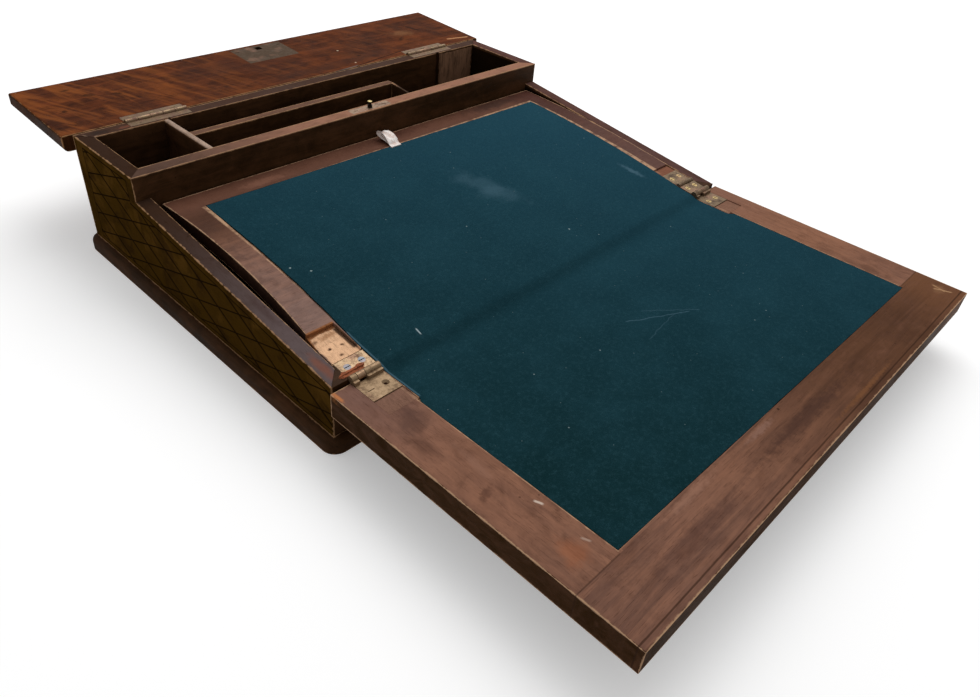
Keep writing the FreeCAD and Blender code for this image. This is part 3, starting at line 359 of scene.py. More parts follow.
def grain_effect(name):
    """Wood grain that runs along X: streaks, fine lines, pores and slow clouds."""
    outlets = [("Streaks", NUMBER), ("Fine", NUMBER), ("Pores", NUMBER), ("Clouds", NUMBER)]
    tree, paint, start, end = effect_tree(name, [("Position", VECTOR), ("Seed", NUMBER)], outlets)
    seeds = paint.join(start["Seed"], start["Seed"], start["Seed"])
    offset = paint.vector("MULTIPLY", seeds, (91.7, 53.1, 37.9))
    place = paint.vector("ADD", start["Position"], offset)
    wide = paint.vector("MULTIPLY", place, (0.014, 0.22, 0.22))
    narrow = paint.vector("MULTIPLY", place, (0.035, 1.5, 1.5))
    dashes = paint.vector("MULTIPLY", place, (0.16, 2.6, 2.6))
    paint.feed(end["Streaks"], paint.noise(wide, 1.0, 4.0, 0.6, 0.6))
    paint.feed(end["Fine"], paint.noise(narrow, 1.0, 3.0, 0.6, 0.2))
    paint.feed(end["Pores"], paint.step(paint.noise(dashes, 1.0, 2.0, 0.6), 0.58, 0.72))
    paint.feed(end["Clouds"], paint.noise(place, 34.0, 4.0, 0.6))
    return tree


def wear_effect(name):
    """Rubbed arrises of a box: where a point is near two of its faces at once."""
    inlets = [("Position", VECTOR), ("Low", VECTOR), ("High", VECTOR), ("Width", NUMBER)]
    tree, paint, start, end = effect_tree(name, inlets, [("Mask", NUMBER)])
    below = paint.vector("SUBTRACT", start["Position"], start["Low"])
    above = paint.vector("SUBTRACT", start["High"], start["Position"])
    near = paint.vector("MAXIMUM", paint.vector("MINIMUM", below, above), (0.0, 0.0, 0.0))
    x, y, z = paint.parts(near)
    total = paint.plus(paint.plus(x, y), z)
    most = paint.math("MAXIMUM", paint.math("MAXIMUM", x, y), z)
    least = paint.math("MINIMUM", paint.math("MINIMUM", x, y), z)
    second = paint.minus(paint.minus(total, most), least)
    patchy = paint.noise(start["Position"], 7.0, 6.0, 0.75)
    reach = paint.times(start["Width"], paint.step(patchy, 0.3, 0.7, 0.2, 2.0))
    share = paint.over(second, reach)
    paint.feed(end["Mask"], paint.step(share, 0.2, 1.0, 1.0, 0.0))
    return tree


def zone_effect(name):
    """A box-shaped zone with a ragged outline."""
    inlets = [
        ("Position", VECTOR), ("Low", VECTOR), ("High", VECTOR), ("Feather", NUMBER), ("Ragged", NUMBER),
    ]
    tree, paint, start, end = effect_tree(name, inlets, [("Mask", NUMBER), ("Outside", NUMBER)])
    below = paint.vector("SUBTRACT", start["Low"], start["Position"])
    above = paint.vector("SUBTRACT", start["Position"], start["High"])
    x, y, z = paint.parts(paint.vector("MAXIMUM", below, above))
    outside = paint.math("MAXIMUM", paint.math("MAXIMUM", x, y), z)
    shake = paint.minus(paint.noise(start["Position"], 4.0, 4.0, 0.6), 0.5)
    outside = paint.plus(outside, paint.times(shake, start["Ragged"]))
    paint.feed(end["Outside"], outside)
    share = paint.over(outside, start["Feather"])
    paint.feed(end["Mask"], paint.step(share, -1.0, 1.0, 1.0, 0.0))
    return tree


def speck_effect(name):
    """Sparse specks and dents of one size."""
    inlets = [("Position", VECTOR), ("Spacing", NUMBER), ("Size", NUMBER), ("Share", NUMBER)]
    tree, paint, start, end = effect_tree(name, inlets, [("Mask", NUMBER)])
    scale = paint.over(1.0, start["Spacing"])
    inputs = {"Vector": start["Position"], "Scale": scale}
    cells = paint.node("ShaderNodeTexVoronoi", {"feature": "F1"}, inputs).outputs
    far = paint.times(cells["Distance"], start["Spacing"])
    share = paint.over(far, start["Size"])
    pick = paint.math("LESS_THAN", paint.parts(cells["Color"])[0], start["Share"])
    paint.feed(end["Mask"], paint.times(paint.step(share, 0.5, 1.0, 1.0, 0.0), pick))
    return tree


EFFECTS = {
    "Wood grain": grain_effect,
    "Worn edges": wear_effect,
    "Ragged zone": zone_effect,
    "Specks": speck_effect,
}


def fresh_material(name):
    """A new material with its paint and its shader."""
    material = bpy.data.materials.new(name)
    material.use_nodes = True
    material.node_tree.nodes.clear()
    paint = Paint(material.node_tree)
    shader = paint.node("ShaderNodeBsdfPrincipled")
    outlet = paint.node("ShaderNodeOutputMaterial")
    paint.feed(outlet.inputs["Surface"], shader.outputs["BSDF"])
    return material, paint, shader


def coat(paint, shader, colour, rough, height, strength=1.0):
    """Gives a shader its colour, its roughness and its relief in millimetres."""
    paint.feed(shader.inputs["Base Color"], colour)
    paint.feed(shader.inputs["Roughness"], rough)
    paint.feed(shader.inputs["Normal"], paint.bump(height, strength))


def dress(piece, material):
    """Gives a piece its one material."""
    piece.data.materials.clear()
    piece.data.materials.append(material)


def spoken(name):
    """A piece's name in plain words, for its material."""
    return name.replace("_", " ").capitalize()


def local_box(name, frame_matrix=None):
    """Lowest and highest corner of a node in a frame of its own, in millimetres."""
    turn = frame_matrix.inverted() if frame_matrix is not None else Matrix.Identity(4)
    spots = [(turn @ vertex.co) / MM for vertex in NODES[name].data.vertices]
    low = Vector(min(spot[axis] for spot in spots) for axis in range(3))
    high = Vector(max(spot[axis] for spot in spots) for axis in range(3))
    return low, high


GRAIN_ORDER = {"X": (0, 1, 2), "Y": (1, 0, 2)}

# Relief of the wood: depth of its pores, and height of its fine lines and its mottling.
PORE_MM = 0.05
FINE_MM = 0.03
MOTTLE_MM = 0.22
# Shares of the streaks with the mottling, of the fine lines and of the clouds in the wood's colour.
STREAK_SHARE = 0.72
FINE_SHARE = 0.12
CLOUD_SHARE = 0.3


def lay(paint, state, colour, amount, share):
    """Lays a colour over what a material has so far, as far as an amount and a share of it."""
    state["colour"] = paint.blend(paint.times(amount, share), state["colour"], colour)


def wood_material(
    name, look, seed, low, high, grain="X", place=None, top=None, wear_mm=0.6, gloss=0.05, mottled=0.42,
    washes=(), details=(),
):
    """Worn wood for one board, with washes under its pores and stains and details on top of them."""
    material, paint, shader = fresh_material(name)
    position = place(paint) if callable(place) else paint.place(place)
    parts = paint.parts(position)
    along = paint.join(*(parts[axis] for axis in GRAIN_ORDER[grain]))
    streaks, fine, pores, clouds = paint.effect("Wood grain", Position=along, Seed=float(seed))
    mottle = paint.noise(paint.vector("MULTIPLY", along, (0.6, 1.0, 1.0)), 9.0, 5.0, 0.62, 0.8)
    share = paint.times(fine, FINE_SHARE)
    share = paint.times_plus(streaks, STREAK_SHARE - mottled, share)
    share = paint.times_plus(clouds, CLOUD_SHARE, share)
    share = paint.times_plus(mottle, mottled, share)
    colour = paint.blend(paint.step(share, 0.42, 0.74), look.dark, look.light)
    state = {"colour": colour, "position": position, "parts": parts, "mottle": mottle}
    # Top faces take a tone of their own, partly painted light: the lit top set apart from the shaded faces
    # below it.
    if top is not None:
        top_face_share = paint.step(paint.minus(high[2], parts[2]), 0.2, 1.0, 1.0, 0.0)
        top_face_share = paint.times(top_face_share, paint.step(mottle, 0.25, 0.6, 0.55, 1.0))
        state["colour"] = paint.blend(top_face_share, colour, top)
    for layer in washes:
        layer(paint, state)
    lay(paint, state, darker(look.dark, 0.4), pores, 0.35)
    stain = paint.step(paint.noise(position, 15.0, 6.0, 0.72), 0.54, 0.72)
    lay(paint, state, darker(look.dark, 0.6), stain, 0.3)
    specks = paint.effect("Specks", Position=position, Spacing=9.0, Size=0.7, Share=0.35)[0]
    lay(paint, state, darker(look.dark, 0.35), specks, 0.5)
    height = paint.times(pores, -PORE_MM)
    height = paint.times_plus(fine, FINE_MM, height)
    height = paint.times_plus(mottle, MOTTLE_MM, height)
    edge = paint.effect("Worn edges", Position=position, Low=low, High=high, Width=wear_mm)[0]
    lay(paint, state, look.edge, edge, 0.7)
    state["height"] = height
    state["rough"] = paint.step(clouds, 0.3, 0.7, 0.42, 0.6)
    for layer in details:
        layer(paint, state)
    coat(paint, shader, state["colour"], state["rough"], state["height"])
    shader.inputs["Specular IOR Level"].default_value = gloss
    return material


def on_face(paint, state, axis, face_mm, near_mm=0.25, far_mm=0.7):
    """How much a point is on one face of a board, fading out over a thin skin."""
    away = paint.math("ABSOLUTE", paint.minus(state["parts"][axis], face_mm))
    return paint.step(away, near_mm, far_mm, 1.0, 0.0)


def turned(paint, right, back, way):
    """Two distances, to the right and back, as one along a direction and one square to it."""
    along = paint.times_plus(right, way[0], paint.times(back, way[1]))
    off = paint.times_plus(back, way[0], paint.times(right, -way[1]))
    return along, off


def wash(axis, start_mm, end_mm, colour, share=1.0, near=None):
    """Lets a colour come up along one axis, on one face only where that is given as an axis and a place."""

    def layer(paint, state):
        amount = paint.step(state["parts"][axis], min(start_mm, end_mm), max(start_mm, end_mm))
        if end_mm < start_mm:
            amount = paint.minus(1.0, amount)
        if near is not None:
            amount = paint.times(amount, on_face(paint, state, *near, 0.3, 0.9))
        uneven = paint.step(state["mottle"], 0.2, 0.6, 0.6, 1.0)
        lay(paint, state, colour, paint.times(amount, uneven), share)

    return layer


def flank(axis, face_mm, colour, share=0.9):
    """One face of a board in another colour, such as painted shade on a face turned from the light."""

    def layer(paint, state):
        uneven = paint.step(state["mottle"], 0.2, 0.65, 0.72, 1.0)
        amount = paint.times(on_face(paint, state, axis, face_mm), uneven)
        lay(paint, state, colour, amount, share)

    return layer


def patches(axis, face_mm, size_mm, colour, start, end, share=1.0):
    """Broad cloudy patches of a second colour on one face."""

    def layer(paint, state):
        cloud = paint.noise(state["position"], size_mm, 4.0, 0.6, 0.5)
        amount = paint.times(on_face(paint, state, axis, face_mm), paint.step(cloud, start, end))
        lay(paint, state, colour, amount, share)

    return layer


def thin_line(ends, width_mm, colour, share=1.0, shake_mm=0.5):
    """A thin line between two places, seen from above: a joint, a crack, a scratch, a painted highlight or a
    painted shadow line.
    """
    (x0, y0), (x1, y1) = ends
    length = math.dist(*ends)
    way = ((x1 - x0) / length, (y1 - y0) / length)

    def layer(paint, state):
        right = paint.minus(state["parts"][0], x0)
        back = paint.minus(state["parts"][1], y0)
        run, off = turned(paint, right, back, way)
        shake = paint.minus(paint.noise(state["position"], 8.0, 3.0, 0.6), 0.5)
        off = paint.times_plus(shake, 2 * shake_mm, off)
        line = paint.step(paint.math("ABSOLUTE", off), width_mm * 0.3, width_mm, 1.0, 0.0)
        inside = paint.math("MINIMUM", run, paint.minus(length, run))
        line = paint.times(line, paint.step(inside, -0.2, min(1.5, length / 4)))
        lay(paint, state, colour, line, share)

    return layer


def spot(centre, radii, colour, share=0.8, turn=0.0):
    """A soft oval mark seen from above: a knot, a smudge or a scuff."""

    def layer(paint, state):
        right = paint.minus(state["parts"][0], centre[0])
        back = paint.minus(state["parts"][1], centre[1])
        along, off = turned(paint, right, back, (math.cos(turn), math.sin(turn)))
        oval = paint.join(paint.over(along, radii[0]), paint.over(off, radii[1]), 0.0)
        far = paint.node("ShaderNodeVectorMath", {"operation": "LENGTH"}, {"Vector": oval}).outputs["Value"]
        shake = paint.minus(paint.noise(state["position"], radii[1] * 0.8, 4.0, 0.65), 0.5)
        far = paint.times_plus(shake, 1.5, far)
        lay(paint, state, colour, paint.step(far, 0.2, 1.0, 1.0, 0.0), share)

    return layer


def only_above(height_mm, marks):
    """Keeps marks to the part of a board above one height, so that they don't show on its other face."""

    def layer(paint, state):
        before = state["colour"]
        for mark in marks:
            mark(paint, state)
        upper = paint.step(state["parts"][2], height_mm - 0.4, height_mm)
        state["colour"] = paint.blend(upper, before, state["colour"])

    return layer


def figure(turn, colour, share, start_mm, end_mm):
    """Broad slanting bands in polished wood, that fade out along X."""

    def layer(paint, state):
        x, y = state["parts"][0], state["parts"][1]
        along, off = turned(paint, x, y, (math.cos(turn), math.sin(turn)))
        place = paint.join(paint.times(along, 0.02), paint.times(off, 0.13), 0.0)
        bands = paint.step(paint.noise(place, 1.0, 5.0, 0.6, 0.7), 0.42, 0.66)
        fade = paint.minus(1.0, paint.step(x, start_mm, end_mm, 0.0, 0.75))
        lay(paint, state, colour, paint.times(bands, fade), share)

    return layer


def darken_cut_lines(face_mm, sign, look):
    """Darkens the lines cut into a side board."""

    def layer(paint, state):
        depth = paint.times(paint.minus(state["parts"][0], face_mm), sign)
        below = paint.math("LESS_THAN", state["parts"][2], -2.0)
        lay(paint, state, look.groove_dark, paint.times(paint.step(depth, 0.06, 0.3), below), 0.9)

    return layer


def bare_wood_and_lit_patch(low, high, colour, ragged_mm=1.6, share=1.0, fibre=(0.7, 0.2, 0.7), deep=0.6):
    """A ragged zone of streaky colour and raised fibres: bare wood where the finish is lost and the fibres
    are torn, and on the back board a painted pool of light.
    """

    def layer(paint, state):
        position = state["position"]
        zone = paint.effect(
            "Ragged zone", Position=position, Low=low, High=high, Feather=0.5, Ragged=ragged_mm
        )
        mask = zone["Mask"]
        fibres = paint.noise(paint.vector("MULTIPLY", position, fibre), 1.0, 5.0, 0.72, 1.0)
        patch = paint.blend(paint.step(fibres, 0.42, 0.75), colour, darker(colour, deep))
        lay(paint, state, patch, mask, share)
        state["rough"] = paint.times_plus(mask, 0.3, state["rough"])
        rise = paint.times(paint.times(fibres, mask), 0.5)
        state["height"] = paint.plus(state["height"], rise)

    return layer


def felt_rim(low, high, colour, width_mm=1.3):
    """The pale rubbed line around the felt, whose box is given."""

    def layer(paint, state):
        zone = paint.effect(
            "Ragged zone", Position=state["position"], Low=low, High=high, Feather=1.0, Ragged=1.0
        )
        line = paint.step(zone["Outside"], width_mm * 0.2, width_mm, 1.0, 0.0)
        patchy = paint.step(paint.noise(state["position"], 9.0, 4.0, 0.65), 0.35, 0.6, 0.1, 0.75)
        lay(paint, state, colour, line, patchy)

    return layer


def brass_material(name, bright, tarnish, patina, rough=0.42, metal=0.75, seed=0.0, under_mm=None):
    """Old metal, mottled by tarnish, and with painted shade under one height where that is given."""
    material, paint, shader = fresh_material(name)
    place = paint.place()
    position = paint.vector("ADD", place, (seed * 31.0, seed * 17.0, 0.0))
    blotch = paint.noise(position, 6.0, 5.0, 0.65)
    spots = paint.noise(position, 1.3, 3.0, 0.6)
    share = paint.times_plus(spots, 0.35, paint.times(blotch, 0.65))
    tarnished = paint.step(share, 0.62 - 0.3 * patina, 0.82 - 0.3 * patina)
    colour = paint.blend(tarnished, bright, tarnish)
    pink = paint.step(paint.noise(position, 11.0, 3.0, 0.5), 0.5, 0.7)
    colour = paint.blend(paint.times(pink, 0.3), colour, tone(176, 128, 106))
    # Painted shade: the metal under this height is darkened, as on the side of the catch pin below its lit
    # top.
    if under_mm is not None:
        low = paint.step(paint.parts(place)[2], under_mm - 0.2, under_mm, 1.0, 0.0)
        colour = paint.blend(low, colour, darker(tarnish, 0.15))
    scratch = paint.noise(paint.vector("MULTIPLY", position, (0.09, 3.2, 3.2)), 1.0, 2.0, 0.5, 0.3)
    height = paint.times_plus(scratch, 0.01, paint.times(share, -0.07))
    coat(paint, shader, colour, paint.step(share, 0.3, 0.75, rough - 0.1, rough + 0.25), height)
    paint.feed(shader.inputs["Metallic"], paint.step(tarnished, 0.0, 1.0, metal, metal * 0.55))
    return material


def rust_material(look):
    """Flaking rust."""
    material, paint, shader = fresh_material("Rust")
    position = paint.place()
    flakes = paint.noise(position, 1.6, 5.0, 0.7)
    colour = paint.blend(paint.step(flakes, 0.3, 0.6), darker(look.rust, 0.5), look.rust)
    coat(paint, shader, colour, 0.9, paint.times(flakes, 0.6))
    return material


# The felt grows lighter to the right and the rear, partly in painted light that falls off towards the front,
# over this distance and from this share at the origin.
FELT_FADE_MM = 510
FELT_FADE_SHARE = 0.706
# Painted shade: the dark band where the felt folds over the front edge of the case.
FOLD_MM = -126.5


def felt_material(look):
    """Napped felt with lint, a rubbed middle and a dark band of painted shade along the fold."""
    material, paint, shader = fresh_material("Felt")
    position = paint.place()
    parts = paint.parts(position)
    rise = paint.plus(parts[0], parts[1])
    rise = paint.times_plus(rise, 1 / FELT_FADE_MM, FELT_FADE_SHARE, clamp=True)
    colour = paint.blend(rise, look.dark, look.light)
    cloud = paint.noise(position, 38.0, 5.0, 0.65)
    mottle = paint.noise(position, 2.2, 5.0, 0.8)
    fuzz = paint.noise(position, 0.55, 2.0, 0.8)
    colour = paint.blend(paint.step(cloud, 0.35, 0.75, 0.0, 0.3), colour, tone(40, 78, 90))
    colour = paint.blend(paint.step(mottle, 0.45, 0.75, 0.0, 0.28), colour, tone(56, 92, 102))
    colour = paint.blend(paint.step(fuzz, 0.3, 0.6, 0.35, 0.0), colour, tone(12, 32, 36))
    # Painted shade along the fold, weaker towards the right.
    fold = paint.math("ABSOLUTE", paint.minus(parts[1], FOLD_MM))
    wander = paint.times(paint.noise(position, 30.0, 2.0, 0.5), 6.0)
    fade = paint.step(parts[0], -150.0, 130.0, 0.36, 0.2)
    fold = paint.times(paint.step(paint.plus(fold, wander), 1.0, 12.0, 1.0, 0.0), fade)
    colour = paint.blend(fold, colour, tone(11, 32, 36))
    state = {"colour": colour, "position": position, "parts": parts}
    pale = tone(92, 124, 140)
    marks = [
        spot((19.0, -40.0), (36.0, 13.0), pale, 0.16, 1.9), spot((17.0, -46.0), (14.0, 8.0), pale, 0.12),
        spot((126.0, -80.0), (13.0, 3.5), pale, 0.4, -1.45),
        thin_line(((-109.1, -113.4), (-109.9, -119.0)), 0.6, tone(170, 186, 190), 0.8, 0.1),
        thin_line(((-17.1, -178.7), (19.9, -196.4)), 0.5, pale, 0.3, 1.6),
        thin_line(((-2.0, -178.0), (26.0, -199.0)), 0.45, pale, 0.2, 1.8),
        thin_line(((-20.0, -196.0), (12.0, -192.0)), 0.45, pale, 0.14, 1.8),
        spot((-133.1, -41.6), (0.8, 0.8), look.lint, 1.0), spot((-125.6, -49.6), (0.9, 0.7), look.lint, 1.0),
        spot((30.1, -101.0), (0.8, 0.8), look.lint, 0.9), spot((-47.2, -184.7), (0.6, 0.6), look.lint, 0.7),
        # Painted highlight: a pale line along the felt's left edge near the hinge.
        thin_line(((-139.6, -151.0), (-139.4, -96.0)), 0.7, pale, 0.42, 0.4),
    ]
    for mark in marks:
        mark(paint, state)
    for spacing_mm, size_mm, share, strength in ((13.0, 0.6, 0.35, 0.5), (3.6, 0.35, 0.12, 0.3)):
        lint = paint.effect("Specks", Position=position, Spacing=spacing_mm, Size=size_mm, Share=share)
        lay(paint, state, look.lint, lint[0], strength)
    height = paint.times_plus(fuzz, 0.16, paint.times(mottle, 0.22))
    coat(paint, shader, state["colour"], 1.0, height, 0.8)
    shader.inputs["Specular IOR Level"].default_value = 0.0
    return material


def ribbon_material(look):
    """Soiled pale ribbon."""
    material, paint, shader = fresh_material("Ribbon")
    position = paint.place()
    soil = paint.noise(position, 3.0, 4.0, 0.6)
    ribs = paint.noise(paint.vector("MULTIPLY", position, (2.6, 0.3, 0.3)), 1.0, 2.0, 0.5)
    colour = paint.blend(paint.step(soil, 0.35, 0.7), look.light, look.dark)
    coat(paint, shader, colour, 0.85, paint.times(ribs, 0.12))
    return material


# Edges under the first angle are shaded smooth, and outer edges over the second are rounded.
SMOOTH_BELOW = math.radians(32)
SHARP_ABOVE = math.radians(30)


def new_piece(name, shape):
    """A mesh object at the origin from a finished bmesh."""
    mesh = bpy.data.meshes.new(name)
    shape.normal_update()
    for face in shape.faces:
        face.smooth = True
    for edge in shape.edges:
        edge.smooth = len(edge.link_faces) == 2 and edge.calc_face_angle() < SMOOTH_BELOW
    shape.to_mesh(mesh)
    shape.free()
    piece = bpy.data.objects.new(name, mesh)
    bpy.context.scene.collection.objects.link(piece)
    return piece


def node_shape(name):
    """A clean copy of a node's mesh, with its loose triangles merged into faces."""
    shape = bmesh.new()
    shape.from_mesh(NODES[name].data)
    bmesh.ops.remove_doubles(shape, verts=shape.verts[:], dist=0.01 * MM)
    bmesh.ops.dissolve_limit(
        shape, angle_limit=math.radians(1.0), verts=shape.verts[:], edges=shape.edges[:], delimit=set()
    )
    return shape


def ease(shape, width_mm, segments=2):
    """Rounds the sharp outer edges of a board."""
    sharp = [
        edge for edge in shape.edges
        if len(edge.link_faces) == 2 and edge.calc_face_angle_signed() > SHARP_ABOVE
    ]
    bmesh.ops.bevel(
        shape, geom=sharp, offset=width_mm * MM, offset_type="OFFSET", segments=segments, profile=0.5,
        affect="EDGES", clamp_overlap=True, material=-1,
    )


def cut_away(piece, cutter):
    """Takes one mesh out of another and drops the cutter."""
    tool = piece.modifiers.new("Cut", "BOOLEAN")
    tool.operation = "DIFFERENCE"
    tool.solver = "EXACT"
    tool.use_self = True
    tool.object = cutter
    bpy.context.view_layer.update()
    result = bpy.data.meshes.new_from_object(piece.evaluated_get(bpy.context.evaluated_depsgraph_get()))
    piece.modifiers.clear()
    piece.data = result
    bpy.data.objects.remove(cutter)


def slope_point(across_mm, along_mm, above_mm=0.0):
    """A point on the slope, in the row frame."""
    return SLOPE @ Vector((across_mm * MM, -along_mm * MM, above_mm * MM))


def bow(along_mm):
    """Height of the inner flap's top over the slope, as a curve through three points."""
    if along_mm >= BOW_MM[2][0]:
        return 0.0
    total = 0.0
    for at, height in BOW_MM:
        for other in dict(BOW_MM):
            if other != at:
                height *= (along_mm - other) / (at - other)
        total += height
    return total


def hollow(along_mm):
    """How far the inner flap's left edge is worn in."""
    return max(HOLLOW_MM * (1 - ((along_mm - HOLLOW_AT_MM) / HOLLOW_REACH_MM) ** 2), 0.0)


def panel_place(paint):
    """Millimetres on the inner flap, as if it were neither warped nor worn."""
    x, y, z = paint.parts(paint.place(SLOPE))
    (at0, high0), (at1, high1), (at2, high2) = BOW_MM
    first = (high1 - high0) / (at1 - at0)
    second = ((high2 - high1) / (at2 - at1) - first) / (at2 - at0)
    past0 = paint.minus(paint.times(y, -1.0), at0)
    past1 = paint.minus(paint.times(y, -1.0), at1)
    rise = paint.times_plus(past0, first, high0)
    rise = paint.plus(rise, paint.times(paint.times(past0, past1), second))
    off = paint.over(paint.plus(y, HOLLOW_AT_MM), HOLLOW_REACH_MM)
    worn = paint.times_plus(paint.times(off, off), -HOLLOW_MM, HOLLOW_MM)
    worn = paint.math("MAXIMUM", worn, 0.0)
    near = paint.step(x, -150.0, -143.0, 1.0, 0.0)
    return paint.join(
        paint.minus(x, paint.times(worn, near)), y, paint.minus(z, rise)
    )


def ramp(share):
    """Smooth step from 0 to 1."""
    share = min(max(share, 0.0), 1.0)
    return share * share * (3 - 2 * share)


def two_part(share, split, first, middle, last):
    """A place along a line whose rows are closer in one of two stretches."""
    if share < split:
        return first + (middle - first) * share / split
    return middle + (last - middle) * (share - split) / (1 - split)


# Felt sheets: the first covers the inner flap and ends at a seam on the front board, the second goes on from
# there. The first has its rear edge askew, and its sides swing to the right around one place down the slope.
# Rows of the mesh are closer near the fold: up to one place with this share of the rows, then the rest.
INNER_ROWS = (0.7, 155.0)
OUTER_ROWS = (0.35, -132.0)
FELT_REAR_MM = 17.7
FELT_REAR_SLEW_MM = 2.4
FELT_SEAM_MM = 169.5
FELT_CORNER_LEFT_MM = -136.2
FELT_CORNER_RIGHT_MM = 143.8
FELT_SIDE_MM = 140.4
FELT_LEAN_MM = 1.0
FELT_LEAN_AT_MM = 90.0
FELT_LEAN_REACH_MM = 66.0

# The second gets wider on the outer flap, by this much to the left and to the right, and folds between two
# places. Its front edge is askew too.
FELT_WIDE_MM = (1.6, 3.2)
FELT_WIDE_START_MM = -151.2
FELT_FRONT_MM = -265.3
FELT_SLEW_MM = 2.8
FOLD_START_MM = -121.0
FOLD_END_MM = -129.0

# How far the felt's edges wander and its surface swells.
FELT_WANDER_MM = 0.45
FELT_SWELL_MM = 0.06


def felt_edge(side, at_mm):
    """How far a felt edge wanders inwards from its line."""
    return FELT_WANDER_MM * abs(noise.noise(Vector((at_mm * 0.06, side * 7.3, 0.5))))


def felt_swell(x_mm, y_mm):
    """The felt isn't quite flat."""
    return FELT_SWELL_MM * noise.noise(Vector((x_mm * 0.045, y_mm * 0.045, 3.1)))


def lean(along_mm):
    """How far the middle of the felt's sides swings to the right."""
    return FELT_LEAN_MM * max(1 - ((along_mm - FELT_LEAN_AT_MM) / FELT_LEAN_REACH_MM) ** 2, 0.0)


def inner_felt_point(look, across, down):
    """Point of the felt on the inner flap, from its shares across and down."""
    rear = FELT_REAR_MM + FELT_REAR_SLEW_MM * across
    along = two_part(down, INNER_ROWS[0], rear, INNER_ROWS[1], FELT_SEAM_MM)
    share = (along - rear) / (FELT_SEAM_MM - rear)
    left = FELT_CORNER_LEFT_MM + (-FELT_SIDE_MM - FELT_CORNER_LEFT_MM) * share + felt_edge(0, along)
    right = FELT_CORNER_RIGHT_MM + (FELT_SIDE_MM - FELT_CORNER_RIGHT_MM) * share - felt_edge(1, along)
    x = left + (right - left) * across + lean(along) * (1 + 0.5 * across)
    if down == 0.0:
        along += felt_edge(2, x)
    above = bow(along) - look.sunk / MM + felt_swell(x, -along) * (1 - ramp((along - 150.0) / 10.0))
    return slope_point(x, along, above)


def outer_felt_point(look, across, down):
    """Point of the felt on the front board and the outer flap."""
    start = slope_point(0.0, FELT_SEAM_MM).y / MM
    front = FELT_FRONT_MM - FELT_SLEW_MM * across
    y = two_part(down, OUTER_ROWS[0], start, OUTER_ROWS[1], front)
    wide = ramp((FELT_WIDE_START_MM - y) / 2.0)
    x = -FELT_SIDE_MM + 2 * FELT_SIDE_MM * across
    x += wide * (FELT_WIDE_MM[1] * across - FELT_WIDE_MM[0] * (1 - across))
    slide = felt_edge(0 if across < 0.5 else 1, FELT_SEAM_MM - (y - start))
    x += slide * (1 - 2 * across)
    sunk = look.sunk / MM
    on_slope = SLOPE_TOP_MM + (y - RAIL_FRONT_MM) * math.tan(SLOPE_FALL) - sunk / math.cos(SLOPE_FALL)
    on_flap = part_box("outer_flap_core")[1].z / MM - sunk
    drop = ramp((y - FOLD_START_MM) / (FOLD_END_MM - FOLD_START_MM))
    z = on_slope + (on_flap - on_slope) * drop
    z += felt_swell(x, y) * ramp((-135.0 - y) / 10.0)
    if down == 1.0:
        y += felt_edge(3, x)
    return Vector((x, y, z)) * MM


def felt_piece(name, columns, rows, point, look):
    """A sheet of felt laid by a rule for its points."""
    shape = bmesh.new()
    bmesh.ops.create_grid(shape, x_segments=columns, y_segments=rows, size=0.5)
    for vertex in shape.verts:
        vertex.co = point(look, vertex.co.x + 0.5, 0.5 - vertex.co.y)
    bmesh.ops.solidify(shape, geom=shape.faces[:], thickness=look.thickness)
    return new_piece(name, shape)


class DESK_OT_felt(Operator):
    """Lay the felt on both flaps and over the front board"""

    bl_idname = "desk.felt"
    bl_label = "Felt"

    def execute(self, context):
        look = context.scene.desk_felt
        material = felt_material(look)
        inner = felt_piece("inner_felt_sheet", 112, 90, inner_felt_point, look)
        outer = felt_piece("outer_felt_sheet", 112, 110, outer_felt_point, look)
        for piece in (inner, outer):
            dress(piece, material)
        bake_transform(inner)
        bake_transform(outer)
        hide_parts("inner_felt", "rail_felt")
        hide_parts("outer_felt")
        return {"FINISHED"}


# The ribbon's flat loop seen from its left: back from the felt's edge, and up from the felt.
RIBBON_LOOP_MM = (
    (-1.5, 0.0), (0.6, 0.6), (2.7, 2.5), (4.9, 3.9), (7.2, 4.9), (10.0, 5.1), (12.7, 4.7), (14.2, 3.6),
    (13.8, 2.5), (12.2, 2.0), (8.7, 1.8), (4.8, 1.7), (2.2, 1.3), (0.4, 0.8), (-1.5, 0.6),
)
RIBBON_CENTRE_MM = 4.5
RIBBON_TUCK_MM = 0.5
RIBBON_FLOOR_MM = 1.8
RIBBON_THICK_MM = 0.3
# Over the lower layer, the upper one has a valley at this share of the width, with this spread.
VALLEY_AT = 0.36
VALLEY_SPREAD = 0.17


def loop_point(share):
    """A point on the ribbon's smooth loop."""
    last = len(RIBBON_LOOP_MM) - 1
    at = min(int(share * last), last - 1)
    part = share * last - at
    before, start, end, after = (
        Vector(RIBBON_LOOP_MM[min(max(at + step, 0), last)]) for step in (-1, 0, 1, 2)
    )
    return 0.5 * (
        2 * start + (end - before) * part + (2 * before - 5 * start + 4 * end - after) * part ** 2
        + (3 * start - before - 3 * end + after) * part ** 3
    )


